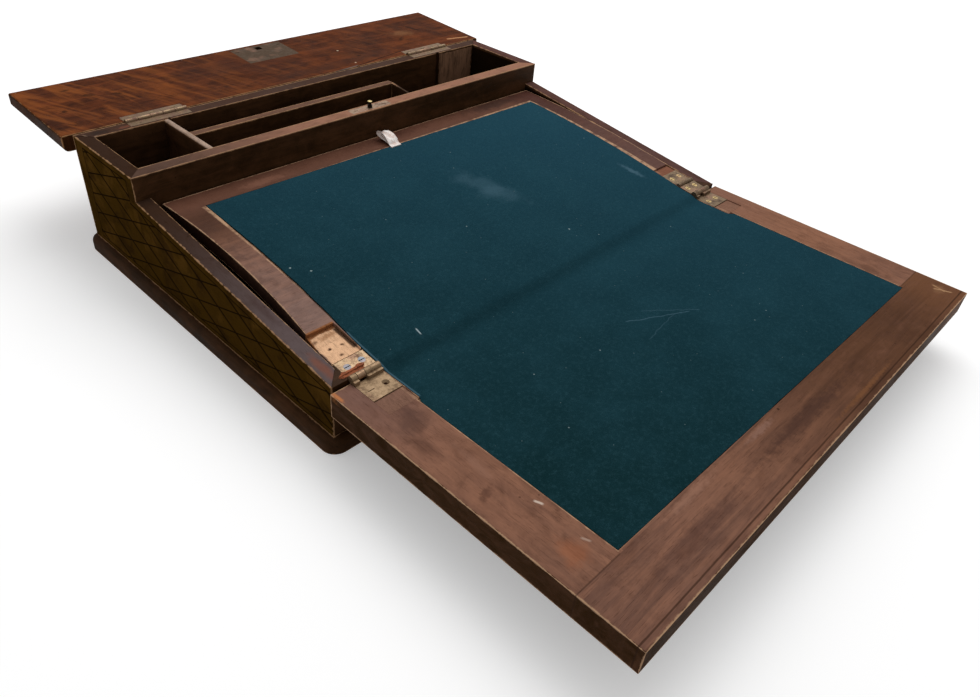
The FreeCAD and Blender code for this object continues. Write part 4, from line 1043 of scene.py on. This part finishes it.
class DESK_OT_ribbon(Operator):
    """Fold the pull ribbon at the inner flap's rear edge"""

    bl_idname = "desk.ribbon"
    bl_label = "Pull ribbon"

    def execute(self, context):
        look = context.scene.desk_ribbon
        shape = bmesh.new()
        bmesh.ops.create_grid(shape, x_segments=20, y_segments=72, size=0.5)
        edge = FELT_REAR_MM + RIBBON_TUCK_MM + FELT_REAR_SLEW_MM * 0.52
        for vertex in shape.verts:
            across, share = vertex.co.x + 0.5, vertex.co.y + 0.5
            back, up = loop_point(share)
            reach = ramp(back / 9.0)
            valley = math.exp(-((across - VALLEY_AT) / VALLEY_SPREAD) ** 2) * reach
            curl = (1 - across) ** 2 * reach
            over = max(up - RIBBON_FLOOR_MM, 0.0)
            up += over * (0.3 * curl - 0.66 * valley - 0.22 * across * reach)
            back += 0.5 * math.sin(across * math.pi * 3 + share * 4) * reach - 1.0 * valley
            x = RIBBON_CENTRE_MM + (across - 0.5) * look.width / MM * (0.83 + 0.04 * reach)
            vertex.co = slope_point(x, edge - back, bow(edge) + up)
        bmesh.ops.solidify(shape, geom=shape.faces[:], thickness=RIBBON_THICK_MM * MM)
        piece = new_piece("ribbon_loop", shape)
        dress(piece, ribbon_material(look))
        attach(piece, "inner_flap")
        slope_point(0.0, edge, bow(edge))
        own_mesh(piece)
        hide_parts("ribbon_pull")
        return {"FINISHED"}


# Lines cut into the side boards: two families that cross, each with the rise of its lines, the height of its
# first line at the rear, their spacing, their numbers and their width, and a border along the outline.
RISING = (0.318, 24.4, 13.3, range(-7, 4), 1.2)
FALLING = (-0.555, 60.6, 18.3, range(-3, 9), 2.1)
LATTICE_REAR_MM = 125.0
BORDER_MM = {"bottom": 12.0, "rear": 112.0, "top": 70.8, "step": 59.5, "slope": 4.8, "front": -123.0}
BORDER_WIDTH_MM = 1.2
CUT_DEPTH_MM = 0.5
CUT_OVERRUN_MM = 0.6
SHORTEST_CUT_MM = 3.0
# The border has no line at the front, where its two ends' distances to the rear add up to less than this.
BORDER_OPEN_MM = -200


def border_outline():
    """Corners of the border on a side board, as distances to the rear and up."""
    def on_slope(y):
        return SLOPE_TOP_MM + (y - RAIL_FRONT_MM) * math.tan(SLOPE_FALL) - BORDER_MM["slope"]

    return [
        (BORDER_MM["rear"], BORDER_MM["bottom"]),
        (BORDER_MM["rear"], BORDER_MM["top"]),
        (BORDER_MM["step"], BORDER_MM["top"]),
        (BORDER_MM["step"], on_slope(BORDER_MM["step"])),
        (BORDER_MM["front"], on_slope(BORDER_MM["front"])),
        (BORDER_MM["front"], BORDER_MM["bottom"]),
    ]


def clipped(outline, rise, start):
    """The pieces of one slanting line that lie inside the border."""
    hits = []
    for (y0, z0), (y1, z1) in zip(outline, outline[1:] + outline[:1]):
        first = z0 - start - rise * (LATTICE_REAR_MM - y0)
        last = z1 - start - rise * (LATTICE_REAR_MM - y1)
        if first * last < 0:
            share = first / (first - last)
            hits.append((y0 + (y1 - y0) * share, z0 + (z1 - z0) * share))
    hits.sort()
    return list(zip(hits[0::2], hits[1::2]))


def lattice_lines():
    """Every cut line on a side board, as its two ends and its width."""
    outline = border_outline()
    lines = [
        (start, end, BORDER_WIDTH_MM) for start, end in zip(outline, outline[1:] + outline[:1])
        if start[0] + end[0] > BORDER_OPEN_MM
    ]
    for rise, first, spacing, numbers, width in (RISING, FALLING):
        for number in numbers:
            lines += [(*ends, width) for ends in clipped(outline, rise, first + number * spacing)]
    return [line for line in lines if math.dist(*line[:2]) > SHORTEST_CUT_MM]


def cut_bar(shape, face_mm, start, end, width_mm):
    """A diamond bar that leaves a V-shaped line along one face."""
    made = bmesh.ops.create_cone(
        shape, cap_ends=True, segments=4, radius1=1.0, radius2=1.0, depth=1.0
    )["verts"]
    middle = Vector((face_mm, (start[0] + end[0]) / 2, (start[1] + end[1]) / 2))
    turn = math.atan2(end[1] - start[1], end[0] - start[0])
    length = math.dist(start, end) + CUT_OVERRUN_MM
    size = Matrix.Diagonal((CUT_DEPTH_MM, width_mm / 2, length, 1.0))
    lie = Matrix.Rotation(turn - math.pi / 2, 4, "X")
    bmesh.ops.transform(
        shape, verts=made, matrix=Matrix.Scale(MM, 4) @ Matrix.Translation(middle) @ lie @ size
    )


def side_place(paint):
    """Millimetres on a side board, with heights counted from its stepped top."""
    x, y, z = paint.parts(paint.place())
    past = paint.minus(y, RAIL_FRONT_MM)
    on_slope = paint.times_plus(past, math.tan(SLOPE_FALL), SLOPE_TOP_MM)
    front = paint.math("LESS_THAN", y, RAIL_FRONT_MM)
    top = paint.plus(RIM_MM, paint.times(front, paint.minus(on_slope, RIM_MM)))
    return paint.join(x, y, paint.minus(z, top))


class DESK_OT_sides(Operator):
    """Cut the crossing lines into both side boards"""

    bl_idname = "desk.sides"
    bl_label = "Side boards"

    def execute(self, context):
        look = context.scene.desk_case
        rubbed = only_above(-0.2, [
            spot((-163.4, -110.0), (3.6, 16.0), tone(136, 82, 62), 0.6),
            spot((-162.6, -60.0), (3.0, 18.0), tone(64, 44, 40), 0.4),
        ])
        for seed, side in enumerate(("left", "right")):
            left = side == "left"
            name = "side_" + side
            shape = node_shape(name)
            ease(shape, 0.7)
            piece = new_piece(name + "_cut", shape)
            low, high = local_box(name)
            face = low.x if left else high.x
            bars = bmesh.new()
            for start, end, width in lattice_lines():
                cut_bar(bars, face, start, end, width)
            cutter = new_piece("cutter", bars)
            cut_away(piece, cutter)
            groove_dark = darken_cut_lines(face, 1.0 if left else -1.0, look)
            high.z = 0.0
            low.z = -RIM_MM
            material = wood_material(
                "Side wood " + side, look, seed, low, high, grain="Y", place=side_place, wear_mm=0.7,
                gloss=0.0, top=tone(60, 43, 34) if left else tone(96, 68, 62),
                washes=[
                    # Painted sheen: the side tops grow grey and lighter towards the front, most on the left
                    # side.
                    wash(1, 40.0, -115.0, tone(108, 94, 94), 0.85 if left else 0.1, near=(2, 0.0)),
                    # Painted shade: the outer face of each side board in the dark olive side colour.
                    flank(0, face, look.side, 1.0),
                    patches(0, face, 26.0, tone(92, 64, 26), 0.5, 0.66, 0.55),
                    patches(0, face, 17.0, tone(44, 28, 12), 0.5, 0.66, 0.6),
                ],
                details=[groove_dark, rubbed] if left else [groove_dark],
            )
            dress(piece, material)
            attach(piece, "case")
            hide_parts(name)
        return {"FINISHED"}


class DESK_OT_case(Operator):
    """Paint the boards of the case and the pen tray"""

    bl_idname = "desk.case"
    bl_label = "Case boards"

    def execute(self, context):
        look = context.scene.desk_case
        names = [
            "well_rail", "back_board", "front_board", "base_board", "left_divider",
            "ledge_left", "ledge_right", "ledge_rear",
            "plinth_front", "plinth_back", "plinth_left", "plinth_right",
            "tray_rest_strip", "tray_back_wall", "tray_bed_board", "tray_end_slip",
        ]
        grain_to_rear = {
            "left_divider", "ledge_left", "ledge_right", "plinth_left", "plinth_right", "tray_end_slip",
        }
        tops = {
            "left_divider": tone(182, 156, 138),
            "back_board": tone(70, 45, 33),
            "well_rail": tone(86, 62, 50),
            "tray_back_wall": look.top,
            "tray_end_slip": look.top,
        }
        warm_rim = {"well_rail": [wash(0, -165.0, -20.0, tone(160, 112, 88), 0.9, near=(2, RIM_MM))]}
        marks = {
            "back_board": [
                # Painted light: a light streaky patch on the inner face of the back board, at the right of
                # the well.
                bare_wood_and_lit_patch(
                    (120.8, 108.0, 20.0), (157.5, 114.0, 73.5), tone(150, 112, 86), 3.0, 0.9,
                    fibre=(0.34, 0.2, 0.05), deep=0.12,
                ),
                spot((-160.0, 112.6), (5.0, 1.0), tone(150, 122, 100), 0.7, 0.5),
                spot((-163.0, 117.0), (1.0, 4.0), tone(150, 122, 100), 0.6, 0.3),
                spot((-155.0, 117.0), (9.0, 4.0), tone(40, 28, 22), 0.7),
                spot((-138.0, 116.5), (8.0, 2.4), tone(126, 74, 54), 0.6),
            ],
        }
        for seed, name in enumerate(names, start=3):
            low, high = local_box(name)
            material = wood_material(
                spoken(name), look, seed, low, high, grain="Y" if name in grain_to_rear else "X",
                top=tops.get(name), washes=warm_rim.get(name, ()), details=marks.get(name, ()),
            )
            dress(NODES[name], material)
        return {"FINISHED"}


class DESK_OT_lid(Operator):
    """Paint the lid"""

    bl_idname = "desk.lid"
    bl_label = "Lid"

    def execute(self, context):
        look = context.scene.desk_lid
        low, high = local_box("lid_panel", LID)
        dull = tone(30, 18, 9)
        washes = [
            figure(math.radians(-66), tone(150, 84, 38), 0.6, -175.0, 60.0),
            spot((-20.0, 45.0), (75.0, 24.0), tone(66, 38, 28), 0.5),
            spot((40.0, 12.0), (90.0, 9.0), tone(58, 36, 28), 0.5, 0.06),
            flank(0, low.x, tone(40, 24, 10)),
            flank(1, low.y, tone(40, 24, 14)),
        ]
        details = [
            spot((-136.8, 47.7), (7.0, 3.6), dull, 0.6, -0.4),
            spot((-120.2, 41.4), (4.5, 2.2), dull, 0.75, -0.5),
            spot((-145.2, 60.9), (4.0, 2.0), dull, 0.6, 0.2),
            spot((-139.0, 25.0), (5.5, 2.6), dull, 0.55),
            spot((-158.3, 31.7), (3.0, 2.4), dull, 0.7),
            spot((60.3, 17.2), (3.6, 1.8), dull, 0.8),
            spot((124.0, 40.0), (14.0, 9.0), tone(136, 92, 58), 0.5, -0.6),
            spot((140.0, 44.0), (11.0, 2.6), dull, 0.75, -1.3),
            spot((115.0, 30.0), (7.0, 2.6), dull, 0.6, 0.6),
            # Painted highlight: the grey first stretch of the crack, which goes on as the dark line after it.
            thin_line(((2.0, -2.0), (48.0, 2.2)), 0.9, tone(98, 98, 96), 0.75),
            thin_line(((46.0, 1.6), (97.0, 9.0)), 0.8, tone(30, 18, 12), 0.85),
            thin_line(((148.5, 11.0), (170.0, 6.6)), 1.4, tone(190, 138, 96), 0.9, 0.9),
            spot((52.4, 33.4), (1.1, 1.1), tone(220, 200, 170), 0.9),
            spot((49.3, 7.4), (1.1, 1.1), tone(220, 190, 160), 0.9),
        ]
        material = wood_material(
            "Lid wood", look, 31, low, high, place=LID, gloss=0.02, washes=washes,
            details=[only_above(high.z - 2.0, details)],
        )
        dress(NODES["lid_panel"], material)
        return {"FINISHED"}


PANEL_THICK_MM = 9.0
RECESS_REAR_MM = 17.0
# The felt's rear edge lies this little inside its recess.
RECESS_LAP_MM = 0.1
# The board is cut into this many strips of this length, so that it can bend.
STRIPS = 20
STRIP_MM = 8.0
# How near a point has to be to an edge to move with it.
NEAR_MM = 0.1


def worn_panel():
    """The inner flap's board, with its warp, its worn left edge and the felt's recess cut a little askew."""
    shape = node_shape("inner_flap_panel")
    normal = SLOPE.to_3x3() @ Vector((0.0, 1.0, 0.0))
    for step in range(1, STRIPS):
        bmesh.ops.bisect_plane(
            shape, geom=shape.verts[:] + shape.edges[:] + shape.faces[:],
            plane_co=slope_point(0, STRIP_MM * step), plane_no=normal,
        )
    turn = SLOPE.inverted()
    left = min((turn @ vertex.co).x for vertex in shape.verts)
    for vertex in shape.verts:
        place = (turn @ vertex.co) / MM
        along = -place.y
        if place.x < left / MM + NEAR_MM:
            place.x += hollow(along)
        if abs(along - RECESS_REAR_MM) < NEAR_MM:
            across = (place.x - FELT_CORNER_LEFT_MM) / (FELT_CORNER_RIGHT_MM - FELT_CORNER_LEFT_MM)
            place.y -= FELT_REAR_MM - RECESS_REAR_MM - RECESS_LAP_MM + FELT_REAR_SLEW_MM * across
        vertex.co = SLOPE @ (place * MM)
    ease(shape, 0.35, 1)
    piece = new_piece("inner_flap_board", shape)
    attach(piece, "inner_flap")
    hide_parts("inner_flap_panel")
    return piece


class DESK_OT_flaps(Operator):
    """Paint the wood of both writing flaps"""

    bl_idname = "desk.flaps"
    bl_label = "Writing flaps"

    def execute(self, context):
        look = context.scene.desk_flap
        low, high = local_box("inner_flap_panel", SLOPE)
        low.z, high.z = -PANEL_THICK_MM, 0.0
        panel = worn_panel()
        felt_low = (FELT_CORNER_LEFT_MM - 2.0, -300.0, -1.5)
        felt_high = (FELT_CORNER_RIGHT_MM + 0.4, -FELT_REAR_MM - FELT_REAR_SLEW_MM / 2, 50.0)
        stained = bare_wood_and_lit_patch((-160.0, -150.0, -4.5), (-140.8, -139.9, 9.0), tone(150, 96, 58), 1.0)
        torn = bare_wood_and_lit_patch((-157.6, -163.0, -4.5), (-140.8, -142.5, 9.0), look.bare, 2.4)
        behind_leaf = bare_wood_and_lit_patch((141.0, -149.5, -4.5), (160.0, -141.2, 9.0), tone(150, 98, 74), 0.8, 0.7)
        holes_and_shadow_line = [
            spot((-152.6, -153.5), (1.5, 1.3), tone(62, 34, 20), 0.95),
            spot((-145.6, -154.2), (1.4, 1.2), tone(70, 40, 24), 0.9),
            spot((-150.2, -159.6), (1.7, 1.2), tone(78, 44, 26), 0.9),
            spot((-156.5, -146.0), (2.6, 1.6), tone(96, 56, 34), 0.7),
            spot((-148.0, -145.4), (9.0, 2.6), tone(160, 106, 66), 0.6),
            # Painted shadow: the dark line between the torn patch and the felt.
            thin_line(((-141.5, -142.0), (-141.5, -160.0)), 1.7, tone(52, 28, 18), 0.9, 0.8),
        ]
        washes = [
            # Painted sheen: a grey haze that comes up towards the front of the inner flap.
            wash(1, -10.0, -150.0, tone(150, 128, 122), 0.5),
            wash(1, -75.0, -36.0, tone(62, 38, 28), 0.8),
            wash(1, -30.0, -12.0, tone(124, 84, 68), 0.5),
            wash(0, 118.0, 144.0, tone(76, 44, 38), 0.78),
            # Painted shade: the inner flap's left face, dark brown.
            flank(0, low.x, tone(50, 31, 23), 0.95),
            spot((112.0, -8.0), (40.0, 9.0), tone(48, 36, 34), 0.6),
            spot((10.0, -8.0), (36.0, 7.0), tone(70, 42, 34), 0.5),
            spot((-96.0, -12.0), (22.0, 5.0), tone(150, 104, 84), 0.4),
        ]
        material = wood_material(
            "Inner flap wood", look, 41, low, high, place=panel_place, washes=washes,
            details=[
                felt_rim(felt_low, felt_high, look.edge), stained, torn, behind_leaf, only_above(-3.0, holes_and_shadow_line),
            ],
        )
        dress(panel, material)
        rim = felt_rim((-142.2, -265.4, 37.0), (143.8, -100.0, 90.0), look.edge, 0.7)
        warmth = {
            "outer_flap_core": 0.0,
            "outer_flap_stile_left": 0.3,
            "outer_flap_stile_right": 0.48,
            "outer_flap_front_member": 0.12,
            "outer_flap_lipping": 0.0,
        }
        boxes = [local_box(name) for name in warmth]
        low = Vector(min(box[0][axis] for box in boxes) for axis in range(3))
        high = Vector(max(box[1][axis] for box in boxes) for axis in range(3))
        joint = tone(52, 32, 20)
        joints = [
            thin_line(((-172.0, -294.4), (172.0, -294.4)), 0.55, joint, 0.7, 0.1),
            thin_line(((-172.0, -266.8), (-142.0, -266.8)), 0.5, joint, 0.5, 0.1),
            thin_line(((144.0, -266.8), (172.0, -266.8)), 0.5, joint, 0.5, 0.1),
        ]
        marks = {
            "outer_flap_stile_left": [
                thin_line(((-147.7, -226.8), (-146.2, -231.5)), 0.9, tone(212, 192, 176), 0.9),
                thin_line(((-148.1, -251.4), (-146.3, -256.0)), 0.8, tone(176, 148, 132), 0.8),
                spot((-168.6, -127.0), (1.6, 7.0), tone(206, 130, 76), 0.75),
                spot((-160.0, -212.0), (7.0, 3.0), tone(74, 46, 36), 0.55, 0.4),
                spot((-155.4, -254.0), (10.0, 9.0), tone(164, 96, 60), 0.4, 1.0),
                spot((-160.0, -176.0), (4.0, 16.0), tone(70, 44, 36), 0.45, 0.1),
                spot((-154.0, -160.0), (13.0, 12.0), tone(66, 46, 42), 0.5),
                spot((-151.0, -196.0), (3.0, 18.0), tone(158, 116, 96), 0.35, -0.1),
            ],
            "outer_flap_front_member": [
                thin_line(((158.0, -281.0), (163.5, -291.0)), 0.8, tone(190, 150, 112), 0.8, 1.2),
                thin_line(((162.0, -279.0), (160.0, -288.0)), 0.7, tone(184, 144, 106), 0.7, 1.2),
                spot((160.0, -284.0), (7.0, 5.0), tone(150, 112, 80), 0.4),
                spot((-14.0, -280.8), (66.0, 5.4), tone(66, 44, 38), 0.6),
                spot((-112.0, -282.0), (40.0, 6.0), tone(78, 52, 46), 0.4),
                spot((-38.0, -270.2), (16.0, 2.6), tone(158, 120, 104), 0.5),
                spot((-96.0, -269.4), (26.0, 3.0), tone(160, 118, 98), 0.5),
                spot((30.0, -292.0), (44.0, 1.8), tone(136, 90, 56), 0.5),
                spot((-17.6, -268.9), (1.0, 1.0), tone(36, 24, 18), 0.8),
            ],
        }
        # Painted shade: the left, right, front and rear faces and the underside of the outer flap boards,
        # dark olive.
        faces = ((0, low), (0, high), (1, low), (1, high), (2, low))
        flanks = [flank(axis, corner[axis], tone(50, 29, 5), 1.0) for axis, corner in faces]
        for seed, (name, warm) in enumerate(warmth.items(), start=45):
            stile = "stile" in name
            details = [rim, *joints, only_above(high.z - 3.0, marks.get(name, []))]
            for sign, side in ((-1, "left"), (1, "right")):
                if name.endswith(side):
                    near, far = sorted((sign * 141.0, sign * 158.2))
                    ends = (near, -151.0, 30.0), (far, -139.8, 40.0)
                    details.append(bare_wood_and_lit_patch(*ends, tone(142, 106, 88), 0.8, 0.6))
            # The third wash lies on the whole board, as it has come up before the board begins.
            washes = [
                wash(1, -300.0, -200.0, tone(150, 98, 66), warm),
                # Painted sheen: a grey haze towards the fold, strongest on the left stile.
                wash(1, -200.0, -124.0, tone(104, 78, 74), 0.5 if name.endswith("left") else 0.2),
                wash(1, -400.0, -390.0, tone(160, 132, 124), 0.16),
                *flanks,
            ]
            if "front" in name or "lipping" in name:
                washes += [
                    wash(0, -130.0, 70.0, tone(66, 38, 14), 0.72),
                    wash(0, 110.0, 165.0, tone(132, 88, 60), 0.45),
                ]
            material = wood_material(
                spoken(name), look, seed, low, high, grain="Y" if stile else "X", gloss=0.02,
                mottled=0.42 if stile else 0.2, washes=washes, details=details,
            )
            dress(NODES[name], material)
        return {"FINISHED"}


class DESK_OT_metal(Operator):
    """Give the hinges, screws and lock their metals"""

    bl_idname = "desk.metal"
    bl_label = "Metal parts"

    def execute(self, context):
        look = context.scene.desk_metal
        tarnish = look.tarnish
        hinge = brass_material("Hinge brass", tone(160, 134, 104), tone(112, 80, 56), 0.45)
        outer_leaf = brass_material(
            "Outer leaf brass", tone(150, 124, 94), tone(106, 80, 54), 0.42, 0.5, 0.6, seed=8.0
        )
        hinge_right = brass_material("Right hinge brass", look.brass, tarnish, 0.6, seed=5.0)
        catch = brass_material("Catch plate brass", tone(170, 143, 118), tone(92, 62, 46), 0.6, 0.4, seed=6.0)
        lid_hinge = brass_material("Lid hinge brass", look.brass, tone(112, 78, 62), 0.6, seed=1.0)
        plate = brass_material("Lock brass", look.plate, tone(66, 50, 36), 0.35, 0.5, seed=2.0)
        screw = brass_material("Screw brass", tone(202, 176, 122), tarnish, 0.3, 0.35, seed=3.0)
        dull_screw = brass_material("Dull screw brass", tone(150, 126, 96), tarnish, 0.45, 0.45, seed=7.0)
        steel = brass_material("Dull steel", look.steel, tone(72, 74, 80), 0.3, 0.36, seed=4.0)
        # The catch pin gets painted shade on its side, under its top.
        pin = brass_material("Catch pin brass", tone(226, 204, 140), tarnish, 0.1, 0.35, under_mm=79.2)
        groups = [
            (("flap_hinge", "outer_pin", "inner_pin"), hinge),
            (("lid_hinge",), lid_hinge),
            (("lock_", "keyhole"), plate),
            (("catch_pin",), pin),
            (("catch_plate", "catch_screws"), catch),
        ]
        for name, node in NODES.items():
            for starts, material in groups:
                if name.startswith(starts):
                    dress(node, material)
            if "screws" in name and not name.startswith(("catch", "lock")):
                dress(node, dull_screw if name.startswith("lid_") else screw)
            if name.startswith(("flap_hinge", "outer_pin", "inner_pin")) and name.endswith("right"):
                dress(node, hinge_right)
            if name in ("middle_screws_left", "lock_bolt"):
                dress(node, steel)
            if name in ("outer_screws_left", "flap_hinge_outer_left"):
                dress(node, outer_leaf)
        return {"FINISHED"}


# The rusty lump: its centre across and along the slope, its half sizes, how far its middle lies above the
# slope, and how far it reaches below its middle.
RUST_ACROSS_MM = -153.2
RUST_ALONG_MM = 172.6
RUST_HALF_MM = (7.4, 2.1, 0.62)
RUST_UP_MM = 0.3
RUST_DOWN_MM = 0.4
# Along the slope: where the hinge's barrel starts, and the outer leaf's bridge when the flap is closed. Under
# the bridge the rust is only a crust.
BARREL_MM = 174.0
BRIDGE_MM = 172.2
CRUST_MM = 0.1


class DESK_OT_rust(Operator):
    """Put the rusty lump on the left flap hinge"""

    bl_idname = "desk.rust"
    bl_label = "Rust"

    def execute(self, context):
        shape = bmesh.new()
        bmesh.ops.create_icosphere(shape, subdivisions=5, radius=1.0)
        for vertex in shape.verts:
            way = vertex.co.copy()
            swell = 1.0 + 0.35 * noise.noise(way * 1.7) + 0.22 * noise.noise(way * 4.3)
            swell += 0.10 * noise.noise(way * 11.0)
            x, y, z = (part * half * swell for part, half in zip(way, RUST_HALF_MM))
            y += 0.05 * x - 0.7 * math.cos(x * 0.5)
            along = min(RUST_ALONG_MM - y, BARREL_MM)
            above = RUST_UP_MM + max(z, -RUST_DOWN_MM)
            if along > BRIDGE_MM:
                above = min(above, CRUST_MM)
            vertex.co = slope_point(RUST_ACROSS_MM + x, along, above)
        piece = new_piece("hinge_rust", shape)
        dress(piece, rust_material(context.scene.desk_metal))
        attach(piece, "case")
        return {"FINISHED"}


FLOOR_HALF = 8.0
FLOOR_DROP = 0.0002
LAMP_PLACE = (0.55, 0.35, 1.35)
LAMP_AIM = Vector((0.0, -0.05, 0.0))
LAMP_SIZE = 1.3
SENSOR_MM = 36.0


class DESK_OT_stage(Operator):
    """Set the floor, the lamps and the camera"""

    bl_idname = "desk.stage"
    bl_label = "Stage"

    def execute(self, context):
        scene = context.scene
        look = scene.desk_stage
        shape = bmesh.new()
        bmesh.ops.create_grid(shape, x_segments=1, y_segments=1, size=FLOOR_HALF)
        bmesh.ops.translate(shape, verts=shape.verts[:], vec=(0.0, 0.0, -FLOOR_DROP))
        floor = new_piece("floor", shape)
        material, paint, shader = fresh_material("Floor")
        paint.feed(shader.inputs["Base Color"], tuple(look.floor))
        shader.inputs["Roughness"].default_value = 0.9
        shader.inputs["Specular IOR Level"].default_value = 0.0
        paint.feed(shader.inputs["Emission Color"], (1.0, 1.0, 1.0))
        seen = paint.node("ShaderNodeLightPath").outputs["Is Camera Ray"]
        paint.feed(shader.inputs["Emission Strength"], paint.times(seen, look.glow))
        dress(floor, material)
        world = bpy.data.worlds.new("Studio")
        world.use_nodes = True
        paint = Paint(world.node_tree)
        background = world.node_tree.nodes["Background"]
        seen = paint.node("ShaderNodeLightPath").outputs["Is Camera Ray"]
        paint.feed(background.inputs["Color"], (1.0, 1.0, 1.0))
        strength = paint.times_plus(seen, 1.0 - look.world, look.world)
        paint.feed(background.inputs["Strength"], strength)
        scene.world = world
        lamp = bpy.data.lights.new("Key", "AREA")
        lamp.shape = "SQUARE"
        lamp.size = LAMP_SIZE
        lamp.energy = look.key
        key = bpy.data.objects.new("Key", lamp)
        key.location = LAMP_PLACE
        key.rotation_euler = (LAMP_AIM - key.location).to_track_quat("-Z", "Y").to_euler()
        scene.collection.objects.link(key)
        camera = bpy.data.objects.new("Camera", bpy.data.cameras.new("Camera"))
        camera.location = look.eye
        camera.rotation_euler = look.aim
        camera.data.sensor_width = SENSOR_MM
        camera.data.lens = look.lens
        camera.data.shift_x = look.shift_x
        camera.data.shift_y = look.shift_y
        camera.data.clip_start = 0.01
        scene.collection.objects.link(camera)
        scene.camera = camera
        scene.view_settings.view_transform = "Standard"
        return {"FINISHED"}


OPERATORS = (
    DESK_OT_stage, DESK_OT_case, DESK_OT_sides, DESK_OT_lid, DESK_OT_flaps, DESK_OT_metal, DESK_OT_felt,
    DESK_OT_ribbon, DESK_OT_rust,
)


class DESK_PT_panel(Panel):
    """Lists the pieces of the desk"""

    bl_idname = "DESK_PT_panel"
    bl_label = "Writing desk"
    bl_space_type = "VIEW_3D"
    bl_region_type = "UI"
    bl_category = "Desk"

    def draw(self, context):
        for operator in OPERATORS:
            self.layout.operator(operator.bl_idname)


def register():
    for name, look in LOOKS.items():
        bpy.utils.register_class(look)
        setattr(bpy.types.Scene, name, PointerProperty(type=look))
    for item in (*OPERATORS, DESK_PT_panel):
        bpy.utils.register_class(item)


def unregister():
    for item in (DESK_PT_panel, *reversed(OPERATORS)):
        bpy.utils.unregister_class(item)
    for name, look in reversed(LOOKS.items()):
        delattr(bpy.types.Scene, name)
        bpy.utils.unregister_class(look)


def main():
    register()
    for operator in OPERATORS:
        group, name = operator.bl_idname.split(".")
        getattr(getattr(bpy.ops, group), name)()


if __name__ == "__main__":
    main()
